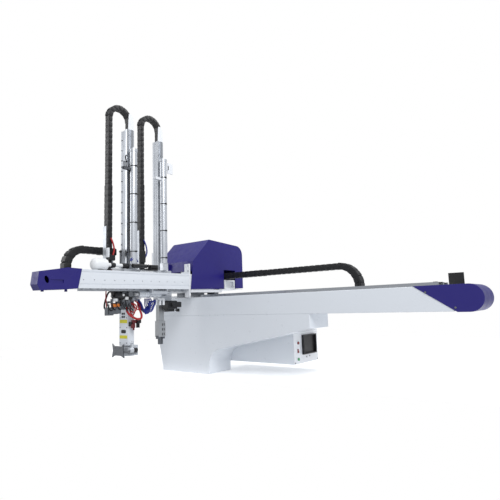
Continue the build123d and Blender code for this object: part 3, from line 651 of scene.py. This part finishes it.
# Each arm's y, the height of its loop's centre, half its stroke, the height of its top and the two bodies.
LIFT = {"main": {"y": -695.0, "bend": 2034.0, "half": 550.0, "top": 1971.0,
                 "slide": "main_kick", "loop": "main_bend"},
        "sub": {"y": -393.0, "bend": 2047.0, "half": 500.0, "top": 1957.0,
                "slide": "sub_kick", "loop": "sub_bend"}}
for name, arm in LIFT.items():
    near = arm["y"] - 2 * LIFT_RADIUS
    ends = (LIFT_X, near, SHELF_TOP), (LIFT_X, near, arm["bend"] - arm["half"])
    run = straight_chain(*ends, BACKWARD_Y, RIGHTWARD, LIFT_SIZE)
    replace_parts(piece(name + "_lift_links", [run], chain_black, arm["slide"]), name + "_chain_fixed")
    legs = (arm["half"], arm["bend"] - arm["top"] + LEG_IN_ARM)
    centre = (LIFT_X, arm["y"] - LIFT_RADIUS, arm["bend"])
    loop = loop_of(centre, BACKWARD_Y, UP, LIFT_RADIUS, legs, RIGHTWARD, LIFT_SIZE)
    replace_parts(piece(name + "_lift_loop", loop, chain_black, arm["loop"]), name + "_chain_bend")
    print(name, "lift chain points", len(run[0]) + sum(len(part[0]) for part in loop))

# %% The kick chain
KICK_SIZE, KICK_X, KICK_RADIUS, KICK_BEND_Y, KICK_TOP = (48.0, 58.0, 57.0), -136.0, 128.5, -1020.0, 1018.0
KICK_HALF, KICK_TAIL, KICK_END = 125.0, 10.0, -748.0
high = KICK_TOP - KICK_SIZE[2] / 2
low = high - 2 * KICK_RADIUS
ends = (KICK_X, KICK_BEND_Y + KICK_HALF + KICK_TAIL, low), (KICK_X, KICK_BEND_Y, low)
run = straight_chain(*ends, DOWNWARD, RIGHTWARD, KICK_SIZE)
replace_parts(piece("kick_links_fixed", [run], chain_black, "traverse"), "kick_chain_fixed")
ends = (KICK_X, KICK_BEND_Y + KICK_HALF, high), (KICK_X, KICK_END, high)
run = straight_chain(*ends, UP, RIGHTWARD, KICK_SIZE)
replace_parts(piece("kick_links_moving", [run], chain_black, "main_kick"), "kick_chain_moving")
centre, legs = (KICK_X, KICK_BEND_Y, (low + high) / 2), (KICK_HALF, KICK_HALF)
loop = loop_of(centre, DOWNWARD, BACKWARD_Y, KICK_RADIUS, legs, RIGHTWARD, KICK_SIZE)
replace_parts(piece("kick_loop", loop, chain_black, "kick_bend"), "kick_chain_bend")
print("kick chain bend points", sum(len(part[0]) for part in loop))

# %% The traverse chain
RUN_SIZE, RUN_Y, RUN_RADIUS, RUN_BEND_X, RUN_TOP = (50.0, 70.0, 52.0), 235.0, 154.0, 1307.0, 838.0
RUN_HALF, RUN_TAIL, RUN_START = 700.0, 30.0, -100.0
high = RUN_TOP - RUN_SIZE[2] / 2
low = high - 2 * RUN_RADIUS
ends = (RUN_BEND_X - RUN_HALF - RUN_TAIL, RUN_Y, low), (RUN_BEND_X, RUN_Y, low)
run = straight_chain(*ends, DOWNWARD, FORWARD_Y, RUN_SIZE)
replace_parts(piece("traverse_links_fixed", [run], chain_black, "base"), "traverse_chain_fixed")
ends = (RUN_START, RUN_Y, high), (RUN_BEND_X - RUN_HALF, RUN_Y, high)
run = straight_chain(*ends, UP, FORWARD_Y, RUN_SIZE)
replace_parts(piece("traverse_links_moving", [run], chain_black, "traverse"), "traverse_chain_moving")
centre, legs = (RUN_BEND_X, RUN_Y, (low + high) / 2), (RUN_HALF, RUN_HALF)
loop = loop_of(centre, UP, RIGHTWARD, RUN_RADIUS, legs, FORWARD_Y, RUN_SIZE)
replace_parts(piece("traverse_loop", loop, chain_black, "traverse_bend"), "traverse_chain_bend")
print("traverse chain bend points", sum(len(part[0]) for part in loop))


# %% [markdown]
# ## Painted and moulded skins
# The column, the beams, the caps and the hood are plate and mouldings with soft edges. Their CAD solids have
# the right shape but razor edges, so each is copied, its triangles are joined back into flat faces, and a
# bevel rounds the edges. The copy then stands for the CAD node.

# %% Round the big skins' edges
BODY_OF = {node: body for body, names in frame["record"]["behaviour"]["bodies"].items() for node in names}
SKINS = [("base_column", frame_paint, 5.0), ("traverse_beam", frame_paint, 3.0),
         ("beam_end_cap", hood_blue, 3.0), ("control_box", frame_paint, 2.0),
         ("control_panel", panel_paint, 0.8), ("carriage_hood", hood_blue, 1.2),
         ("nose_cap", hood_blue, 1.6), ("kick_beam", frame_paint, 1.2),
         ("main_arm_box", frame_paint, 1.5), ("carriage_plate", panel_paint, 1.5),
         ("chain_tray", frame_paint, 1.0), ("beam_clamp", panel_paint, 1.2),
         ("main_slide", plate_silver, 1.2), ("sub_slide", plate_silver, 1.2),
         ("tool_plate", tool_grey, 1.2), ("wrist_unit", plate_silver, 1.0),
         ("gripper_body", gripper_grey, 1.0)]
for node, material, width in SKINS:
    made = dressed(node, material, BODY_OF[node], width)
    print(node, "faces", len(made.data.polygons))

# %% [markdown]
# ### Pieces that need only a finish
# Rails, guide blocks, pinions, cylinders and buttons have their real shape in the CAD already. Most are
# small or ground sharp, so rounding their edges would hardly show. Each keeps its mesh and gets a material.

# %% Give every other CAD node its finish
PLAIN = {"traverse_rails": rail_steel, "end_stops": rubber_black, "cover_screws": screw_steel,
         "power_socket": motor_black, "carriage_blocks": gunmetal, "traverse_motor": motor_black,
         "traverse_pinion": screw_steel, "hood_floor": panel_paint, "kick_rails": kick_rail_steel,
         "kick_chain_tray": plate_silver, "sub_kick_cylinder": plate_silver, "main_guide_blocks": gunmetal,
         "main_cylinder": cylinder_silver, "kick_motor": motor_black, "main_valves": gunmetal,
         "main_hoses": hose_red, "kick_pinion": screw_steel, "lift_pinion": screw_steel,
         "main_arm_profile": arm_silver, "main_lift_rail": lift_rail_steel, "main_chain_end": panel_paint,
         "sub_guide_blocks": gunmetal, "sub_cylinder": cylinder_silver, "sub_arm_profile": arm_silver,
         "sub_lift_rail": lift_rail_steel, "sub_chain_end": panel_paint, "gripper_jaw_left": gunmetal,
         "gripper_jaw_right": gunmetal, "red_button": button_red, "green_button": button_green,
         "rocker_switch": button_red}
for node, material in PLAIN.items():
    mesh = nodes[node].data
    mesh.materials.clear()
    mesh.materials.append(material)
print("plain nodes", len(PLAIN))


# %% [markdown]
# ## Fittings
# A machine is mostly small things: motors with ribs, round cylinders with clips, hoses that leave a fitting,
# bend and go into another. Each is a box, a turned profile or a round section along a curve at its own place.
# Neighbours of one material that ride one body are put together into one piece. Places are in millimetres.

# %% Ribs, knobs, clips and rows
def ribbed(axis, centre, radius, low, high, ribs, depth=2.5):
    """A drum with cooling ribs: its radius drops by the depth between one rib and the next."""
    count = 4 * ribs
    place = np.linspace(low, high, count + 1)
    size = np.where(np.arange(count + 1) % 4 < 2, radius, radius - depth)
    return lathe(axis, centre, np.column_stack([place, size]), 28)


def ball(centre, radius):
    """A knob: circles whose radius follows a half circle."""
    angle = np.linspace(0.15, math.pi - 0.15, 9)
    profile = np.column_stack([centre[2] - radius * np.cos(angle), radius * np.sin(angle)])
    return lathe("z", centre[:2], profile, 16)


def clips(centre, radius, levels):
    """Cable ties round an upright cylinder: a thin band and its lock at each level."""
    side, y = centre[0] + radius, centre[1]
    bands = [disc("z", centre, radius + 1.4, level, level + 7, 0.8, 28) for level in levels]
    locks = [box((side - 1, side + 7), (y - 6, y + 6), (level - 2, level + 9)) for level in levels]
    return bands + locks


def blocks(bevel, *rows):
    """Boxes with the same bevel."""
    return [box(x, y, z, bevel) for x, y, z in rows]


def drums(axis, bevel, sides, *rows):
    """Short round bars along one axis. Each row is a centre, a radius, a low and a high end."""
    return [disc(axis, centre, radius, low, high, bevel, sides) for centre, radius, low, high in rows]


def grid(first, second):
    """Every pair of a first and a second value."""
    return [(u, v) for u in first for v in second]


def screws(axis, places, level, radius, out=1):
    """The same screw at many places on one face."""
    return [screw(axis, place, level, radius, out) for place in places]


print("points of a knob", len(ball((0, 0, 0), 10)[0]))

# %% [markdown]
# ### On the two slides
# The lift motor lies across the slide. Its housing is cast with cooling ribs, which are one turned profile
# whose radius steps in and out. Bump could fake ribs, but these show in the outline, so they are real shape.
# Switches, posts and small motors stand on the shelves beside it.

# %% The lift motor and what stands on the main slide
MOTOR = (36.0, 868.0)
shapes = [ribbed("y", MOTOR, 45, -1026, -950, 8),
          lathe("y", MOTOR, [(-1049, 20), (-1045, 33), (-1037, 41), (-1026, 44)], 28),
          disc("y", MOTOR, 40, -951, -936, 2, 28), disc("y", MOTOR, 15, -938, -740)]
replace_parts(piece("lift_motor_white", shapes, white_plastic, "main_kick"), "lift_motor")
shapes = drums("y", 2, 24, (MOTOR, 19, -900, -862), (MOTOR, 19, -800, -741))
shapes += blocks(1.5, ((20, 52), (-934, -922), (828, 888)))
shapes += blocks(1, ((44, 60), (-1010, -968), (822, 830)), ((3, 12), (-888, -870), (SHELF_TOP, 905)))
shapes += blocks(2, ((20, 50), (-930, -902), (824, 848)))
shapes += blocks(3, ((3, 30), (-904, -853), (904, 945)))
shapes += [disc("z", (-25, -768), 5, SHELF_TOP, 974, 1, 16), ball((-25, -768, 983), 11)]
piece("main_shelf_dark", shapes, motor_black, "main_kick")
shapes = blocks(1.5, ((3, 30), (-912, -903), (926, 997)), ((-32, -18), (-776, -758), (SHELF_TOP, 862)))
piece("main_shelf_light", shapes, panel_paint, "main_kick")

# %% What stands on the sub slide
shapes = blocks(4, ((3, 22), (-614, -566), (905, 1000)))
shapes += blocks(1, ((3, 14), (-606, -590), (SHELF_TOP, 906)), ((0, 128), (-594, -540), (845, 853)))
shapes += blocks(3, ((92, 128), (-600, -528), (834, 878)))
shapes += drums("y", 2, 24, ((96, 867), 16, -748, -688), ((96, 867), 15, -689, -614))
shapes.append(ball((110, -609, 869), 12))
piece("sub_shelf_dark", shapes, motor_black, "sub_kick")
shapes = [disc("z", (30, -503), 5, SHELF_TOP, 986, 1, 16)]
shapes += blocks(1.5, ((22, 38), (-511, -495), (SHELF_TOP, 866)))
shapes += blocks(1.2, ((55, 63), (-363, -308), (1672, 1765)), ((47, 63), (-384, -352), (1700, 1740)))
shapes += blocks(2, ((36, 60), (-490, -430), (1600, 1622)))
piece("sub_shelf_light", shapes, panel_paint, "sub_kick")
print("the slides' fittings stand on", SHELF_TOP)

# %% [markdown]
# ### On the air cylinders
# Cable ties sit on the upright cylinders at even steps, so a row of heights makes them all. A turned cap
# closes the top of each cylinder.

# %% Clips, caps and fittings of the two air cylinders
MAIN_ROD, SUB_ROD, ROD_RADIUS, CLIP_PITCH = (55, -707), (55, -405), 28, 225
main_levels, sub_levels = np.arange(976, 1660, CLIP_PITCH), np.arange(946, 1640, CLIP_PITCH)
piece("main_clips", clips(MAIN_ROD, ROD_RADIUS, main_levels), rubber_black, "main_kick", 40)
piece("sub_clips", clips(SUB_ROD, ROD_RADIUS, sub_levels), rubber_black, "sub_kick", 40)
shapes = blocks(2, ((36, 62), (-800, -738), (1617, 1640)))
shapes += drums("z", 1.5, 16, ((48, -786), 9, 1638, 1682), ((48, -762), 9, 1638, 1672))
shapes += drums("y", 1.5, 16, ((48, 1628), 8, -812, -798))
piece("main_rod_fitting", shapes, gunmetal, "main_kick")
for name, rod, level, body in (("main_rod_cap", MAIN_ROD, 1770, "main_kick"),
                               ("sub_rod_cap", SUB_ROD, 1759, "sub_kick")):
    shapes = [disc("z", rod, 31, level, level + 27, 3, 28), disc("z", rod, 12, level + 26, level + 36, 1, 16)]
    piece(name, shapes, plate_silver, body)
print("clips", len(main_levels) + len(sub_levels))

# %% [markdown]
# ### Hoses
# Air hoses leave a fitting, sag and come back to the next one. Those in a bundle run almost side by side, so
# a bundle is its first hose moved by small steps. Each hose could be simulated, but a few listed points
# keep both its ends at their fittings.

# %% Hoses
shapes = [tube([(12, -862, 940), (14, -852, 990), (11, -862, 1040), (9, -878, 1075)], 6),
          tube([(46, -727, 590), (52, -706, 566), (54, -694, 540), (52, -700, 506), (44, -716, 500),
                (36, -728, 540)], 4.5),
          tube([(56, -716, 588), (60, -692, 572), (58, -680, 548), (56, -700, 520), (50, -724, 526),
                (44, -734, 566)], 4.5),
          tube([(60, -700, 604), (66, -668, 580), (66, -650, 560), (62, -664, 536), (60, -690, 548),
                (58, -712, 580)], 4)]
piece("main_red_hoses", shapes, hose_red, "main_kick", 60)
shapes = [tube([(30, -756, 1742), (36, -768, 1720), (34, -756, 1680), (36, -740, 1643), (44, -737, 1600)], 5),
          tube([(42, -880, 668), (16, -898, 668), (2, -916, 610), (6, -926, 560), (30, -920, 536)], 6),
          tube([(42, -742, 1625), (36, -733, 1590), (36, -733, 1400), (36, -733, 1150), (38, -731, 1000),
                (46, -728, 930)], 4)]
piece("main_black_hoses", shapes, rubber_black, "main_kick", 60)
shapes = [tube([(12, -572, 930), (14, -548, 985), (11, -552, 1040), (4, -570, 1090)], 6),
          tube([(60, -744, 910), (70, -720, 938), (72, -700, 930), (66, -682, 905)], 4.5),
          tube([(64, -740, 904), (76, -716, 926), (78, -696, 918), (72, -680, 900)], 4.5)]
# Two hanging bundles: each hose's points are the first hose's points plus its number times a small step.
FRONT_BUNDLE = ([(58, -668, 618), (54, -650, 566), (60, -622, 520), (72, -586, 506), (66, -560, 540),
                 (60, -566, 600)],
                [(5, 0, -4), (4, 5, -9), (-2, 6, 5), (3, 2, 8), (2, -4, 6), (4, 6, 0)])
REAR_BUNDLE = ([(64, -610, 620), (58, -600, 556), (66, -560, 516), (70, -528, 548), (62, -520, 610)],
               [(4, 8, 0), (4, 10, 8), (0, 6, 10), (0, 4, 8), (3, 0, 0)])
for (points, steps), radius, count in ((FRONT_BUNDLE, 4.5, 8), (REAR_BUNDLE, 4, 6)):
    shapes += [tube(np.array(points) + k * np.array(steps), radius) for k in range(count)]
piece("sub_blue_hoses", shapes, hose_blue, "sub_kick", 60)
print("blue hoses", len(shapes))

# %% [markdown]
# ### Under the kick beam
# A motor and the vacuum valves hang here, with push-in fittings in loose rows and thin cables between them.
# Lists of places with one size per kind keep the rows uneven, as parts fitted by hand are.

# %% Motor, valves and plate under the kick beam
shapes = [ribbed("y", (60, 662), 26, -890, -812, 7, 3), disc("y", (60, 662), 22, -896, -888, 2, 28),
          disc("y", (60, 674), 18, -810, -800, 1, 20), box((40, 78), (-838, -826), (566, 690), 1.5)]
piece("under_beam_motor", shapes, motor_black, "main_kick")
shapes = blocks(3, ((30, 90), (-832, -788), (640, 670)), ((30, 90), (-784, -745), (648, 685)))
shapes += blocks(2.5, ((24, 64), (-936, -888), (502, 560)), ((24, 64), (-884, -850), (510, 592)))
shapes += blocks(2, ((26, 66), (-846, -826), (512, 588)))
shapes += screws("x", grid((-926, -898, -872), (524, 546)), 64, 5)
piece("under_beam_valves", shapes, gunmetal, "main_kick")
shapes = [box((20, 60), (-810, -730), (566, 583), 1.5), box((24, 60), (-812, -806), (566, 640))]
piece("under_beam_plate", shapes, chain_black, "main_kick")
shapes = [box((44, 68), (-893, -841), (561, 585), 2), disc("x", (-867, 573), 8, 66, 74, 1, 16)]
piece("under_beam_orange", shapes, orange_plastic, "main_kick")

# %% Small fittings and cables under the kick beam
shapes = drums("y", 1, 16, *[((66, z), 7, y, y + 22) for y, z in (
    (-912, 640), (-914, 612), (-880, 622), (-846, 606), (-822, 624), (-796, 616), (-770, 606), (-744, 628))])
shapes += drums("z", 1, 16, *[((58, y), 6, z, z + 26) for y, z in (
    (-926, 556), (-902, 590), (-858, 592), (-838, 590), (-800, 584), (-772, 586), (-748, 584), (-726, 600))])
shapes += blocks(1.5, *[((40, 70), (y, y + 18), (z, z + 14)) for y, z in (
    (-930, 590), (-868, 606), (-818, 596), (-786, 592), (-758, 612), (-730, 626))])
piece("under_beam_fittings", shapes, screw_steel, "main_kick")
shapes = blocks(2, *[((68, 92), (y, y + 26), (z, z + 22)) for y, z in (
    (-900, 600), (-840, 636), (-806, 612), (-768, 640), (-716, 640), (-690, 616))])
shapes += drums("x", 2, 16, *[(place, 9, 90, 100) for place in (
    (-887, 611), (-827, 647), (-755, 651), (-703, 651))])
piece("under_beam_pale", shapes, white_plastic, "main_kick")
shapes = []
for k, (y, z) in enumerate(((-930, 600), (-902, 606), (-858, 608), (-800, 600), (-772, 602), (-748, 600))):
    lowest, rising, end = (76, y + 18, z - 66), (60, y + 34, z - 40 - 6 * k), (52, y + 40, z + 6)
    shapes.append(tube([(58, y, z), (70 + k, y - 12, z - 30), lowest, rising, end], 3.2))
piece("under_beam_hoses", shapes, rubber_black, "main_kick", 60)
print("black cables", len(shapes))

# %% Under the sub slide
shapes = drums("y", 3, 28, ((100, 653), 27, -700, -600)) + drums("y", 2, 28, ((100, 653), 22, -596, -488))
shapes += blocks(2, ((76, 124), (-606, -594), (624, 684)))
piece("sub_drive", shapes, cylinder_silver, "sub_kick")
shapes = blocks(5, ((28, 92), (-402, -300), (532, 600))) + blocks(4, ((36, 84), (-300, -246), (545, 590)))
shapes += drums("x", 2, 24, ((-354, 566), 15, 90, 112)) + blocks(3, ((40, 80), (-398, -320), (512, 534)))
piece("sub_under_dark", shapes, motor_black, "sub_kick")
shapes = blocks(2, *[((84, 112), (y, y + 24), (628, 650)) for y in (-690, -640, -560, -520)])
shapes += drums("z", 2, 16, *[(place, 9, 566, 622) for place in (
    (80, -470), (60, -452), (84, -438), (66, -500))])
shapes += blocks(2, ((56, 92), (-500, -440), (608, 622)))
piece("sub_under_blocks", shapes, panel_paint, "sub_kick")

# %% [markdown]
# ### On the arms and the beams
# Rows of small screws hold the rails and covers at even steps. A socket head screw is a drum with a hole,
# and the hole is real, because its shadow is what makes a dot look like a screw. Slots and bands are thin
# plates that stand a little proud of the face; the black of a slot's plate is painted shade for its hollow.

# %% Beside the main arm
shapes = blocks(4, ((34, 54), (-716, -690), (399, 430)), ((30, 46), (-708, -684), (428, 462)))
shapes += drums("z", 1.5, 16, ((46, -700), 7, 384, 400)) + drums("y", 1.5, 16, ((40, 446), 7, -686, -672))
piece("arm_side_fitting", shapes, hose_dark_red, "main_lift")
shapes = blocks(3, ((30, 60), (-672, -640), (434, 474))) + blocks(2, ((6, 40), (-716, -680), (414, 446)))
shapes += blocks(1.5, ((34, 42), (-668, -656), (400, 436)), ((34, 42), (-650, -640), (400, 436)))
piece("arm_side_prongs", shapes, rubber_black, "main_lift")
shapes = drums("y", 2, 28, ((66, 239), 22, -756, -722)) + blocks(1.5, ((58, 74), (-738, -722), (254, 286)))
shapes.append(ball((66, -730, 296), 13))
piece("wrist_cylinder", shapes, cylinder_silver, "main_lift")
shapes = [disc("y", (80, 240), 16, -722, -695, 2), box((66, 80), (-716, -700), (232, 248))]
piece("wrist_cap", shapes, motor_black, "main_lift")

# %% Screws, bands and slots on the arms
ARM_FRONT, ARM_SIDE, FRONT_PITCH, SIDE_PITCH = -724, 6, 85, 120
shapes = screws("y", grid([-72], np.arange(620, 1960, FRONT_PITCH)), ARM_FRONT, 4.5, -1)
shapes += screws("y", grid([-8], np.arange(620, 1960, 3 * FRONT_PITCH)), ARM_FRONT, 3.2, -1)
piece("main_arm_screws", shapes, black_screw, "main_lift")
for name, across, low, high, body in (("main_arm_side_screws", (-714, -676), 600, 1950, "main_lift"),
                                      ("sub_arm_side_screws", (-413, -374), 630, 1940, "sub_lift")):
    places = grid(across, np.arange(low, high, SIDE_PITCH))
    piece(name, screws("x", places, ARM_SIDE, 3.5), screw_steel, body)
shapes = [box((-92, 0), (ARM_FRONT - 1.2, ARM_FRONT), levels, 0.2) for levels in ((438, 464), (322, 346))]
piece("arm_box_bands", shapes, band_yellow, "main_lift")
# The slot is a thin black plate proud of the face: painted shade in place of the slot's hollow.
shapes = [prism("y", rounded((-74, -16), (362, 388), 11, 5), ARM_FRONT - 1, ARM_FRONT + 0.4, 0.2)]
piece("arm_box_slot_painted_shade", shapes, chain_black, "main_lift")
sockets = grid((-60, -38), (485, 509))
shapes = drums("y", 0.6, 20, *[(place, 8.5, ARM_FRONT - 2, ARM_FRONT + 0.5) for place in sockets])
shapes += drums("y", 0.6, 16, *[(place, 4.5, ARM_FRONT - 4, ARM_FRONT - 1) for place in sockets])
piece("arm_box_sockets", shapes, rubber_black, "main_lift")
shapes = screws("y", grid((-88, -4), (290, 405, 478, 545)), ARM_FRONT, 3.6, -1)
piece("arm_box_screws", shapes, screw_steel, "main_lift")
# Each gripper slot is a thin black plate on the face: painted shade in place of the slot's hollow.
places = grid((-396, -378), (322, 360, 398))
shapes = [prism("x", rounded((y, y + 8), (z, z + 22), 3.5), 13, 14.6, 0.2) for y, z in places]
piece("gripper_slot_painted_shades", shapes, chain_black, "sub_lift")
print("slots on the gripper", len(shapes))

# %% Rails, plates and beams
RAIL_PITCH, KICK_RAIL_FACE, SLIDE_FACE, CLAMP_FACE = 60, 106, 48, -232
places = grid(np.arange(-330, 2090, RAIL_PITCH), (-100, 100))
shapes = [disc("z", place, 5.5, 642.6, 643.4, 0.2, 12) for place in places]
piece("rail_screw_heads", shapes, gunmetal, "base")
places = grid(np.arange(-1165, -250, RAIL_PITCH), [690])
piece("kick_rail_screws", screws("x", places, KICK_RAIL_FACE, 4), gunmetal, "traverse")
places = ((-870, 620), (-660, 620), (-660, 740))
piece("main_slide_screws", screws("x", places, SLIDE_FACE, 5), screw_steel, "main_kick")
places = grid((80, 156), (702, 790, 842))
piece("clamp_screws", screws("y", places, CLAMP_FACE, 5, -1), screw_steel, "traverse")
shapes = drums("y", 2, 24, ((-211, 550), 13, -152, -133)) + blocks(2, ((-96, -64), (-142, -133), (508, 534)))
shapes += drums("y", 1, 16, ((-211, 550), 6, -160, -150), ((-80, 521), 6, -166, -140))
piece("beam_front_knobs", shapes, motor_black, "base")


# %% [markdown]
# ## Floor, light and camera
# The robot is bolted on a machine and its arms dip below its foot, so the floor stops short of the arms and
# fades out further away. Large soft lamps and a pale world light it evenly. The camera stands where the
# photographer's did.

# %% Floor
FLOOR_LEVEL, FLOOR_FRONT, FLOOR_SIDE, FLOOR_BACK = -0.002, -0.22, 30.0, 40.0
FADE_START, FADE_END = 2.6, 4.2
edges = rounded((-FLOOR_SIDE, FLOOR_SIDE), (FLOOR_FRONT, FLOOR_BACK)).tolist()
floor_mesh = bpy.data.meshes.new("floor")
floor_mesh.from_pydata([(x, y, FLOOR_LEVEL) for x, y in edges], [], [(0, 1, 2, 3)])
floor = bpy.data.objects.new("floor", floor_mesh)
bpy.context.scene.collection.objects.link(floor)
floor_white = bpy.data.materials.new("floor white")
floor_white.use_nodes = True
floor_tree = floor_white.node_tree
surface = floor_tree.nodes["Principled BSDF"]
surface.inputs["Base Color"].default_value = (1, 1, 1, 1)
surface.inputs["Emission Color"].default_value = (1, 1, 1, 1)
surface.inputs["Emission Strength"].default_value = 0.22
surface.inputs["Roughness"].default_value = 0.9
distance = floor_tree.nodes.new("ShaderNodeVectorMath")
distance.operation = "LENGTH"
place = floor_tree.nodes.new("ShaderNodeTexCoord")
floor_tree.links.new(place.outputs["Object"], distance.inputs[0])
fade = spread(floor_tree, distance.outputs["Value"], 1.0, 0.0, FADE_START, FADE_END)
floor_tree.links.new(fade, surface.inputs["Alpha"])
floor_mesh.materials.append(floor_white)
print("the floor starts at y", FLOOR_FRONT, "and is gone", FADE_END, "metres from the foot")

# %% World
# The camera sees plain white. Everything else is lit by the cooler and weaker background.
world = bpy.data.worlds.new("studio")
bpy.context.scene.world = world
world.use_nodes = True
tree = world.node_tree
background = tree.nodes["Background"]
background.inputs["Color"].default_value = (0.9, 0.92, 0.95, 1)
background.inputs["Strength"].default_value = 0.6
seen = tree.nodes.new("ShaderNodeBackground")
seen.inputs["Color"].default_value = (1, 1, 1, 1)
rays = tree.nodes.new("ShaderNodeLightPath")
either = tree.nodes.new("ShaderNodeMath")
either.operation = "MAXIMUM"
tree.links.new(rays.outputs["Is Camera Ray"], either.inputs[0])
tree.links.new(rays.outputs["Is Transmission Ray"], either.inputs[1])
choose = tree.nodes.new("ShaderNodeMixShader")
tree.links.new(either.outputs[0], choose.inputs[0])
tree.links.new(background.outputs[0], choose.inputs[1])
tree.links.new(seen.outputs[0], choose.inputs[2])
tree.links.new(choose.outputs[0], tree.nodes["World Output"].inputs["Surface"])
print("world nodes", len(tree.nodes))


# %% Lamps
def lamp(name, place, target, size, power):
    """A square soft lamp that faces a point."""
    data = bpy.data.lights.new(name, "AREA")
    data.size = size
    data.energy = power
    made = bpy.data.objects.new(name, data)
    bpy.context.scene.collection.objects.link(made)
    made.location = place
    aim = np.asarray(target, float) - np.asarray(place, float)
    made.rotation_mode = "QUATERNION"
    made.rotation_quaternion = Vector(aim).to_track_quat("-Z", "Y")


lamp("key lamp", (4.5, -3.0, 4.5), (0.5, 0, 0.7), 3.5, 225)
lamp("left lamp", (-4.0, -3.5, 2.6), (0, -0.4, 0.9), 3.0, 60)
lamp("top lamp", (0.5, 1.5, 5.0), (0.6, 0, 0.6), 4.0, 130)
print("lamps", len(bpy.data.lights))

# %% Camera
# The three directions and the place follow from the photograph's straight edges, which run along the
# robot's own axes.
camera_data = bpy.data.cameras.new("camera")
camera_data.sensor_width = 36.0
camera_data.lens = 31.76
camera = bpy.data.objects.new("camera", camera_data)
bpy.context.scene.collection.objects.link(camera)
RIGHT = (0.78414813, 0.61973243, -0.03230208)
DOWN = (-0.10173108, 0.07702389, -0.99182564)
FORWARD = (-0.61217848, 0.78102435, 0.12344418)
PLACE = (2.8309, -2.7995, 0.545)
rows = [[RIGHT[i], -DOWN[i], -FORWARD[i], PLACE[i]] for i in range(3)]
camera.matrix_world = Matrix(rows + [[0, 0, 0, 1]])
bpy.context.scene.camera = camera
bpy.context.scene.view_settings.view_transform = "Standard"
print("camera at", PLACE, "with a lens of", round(camera_data.lens, 2), "mm")
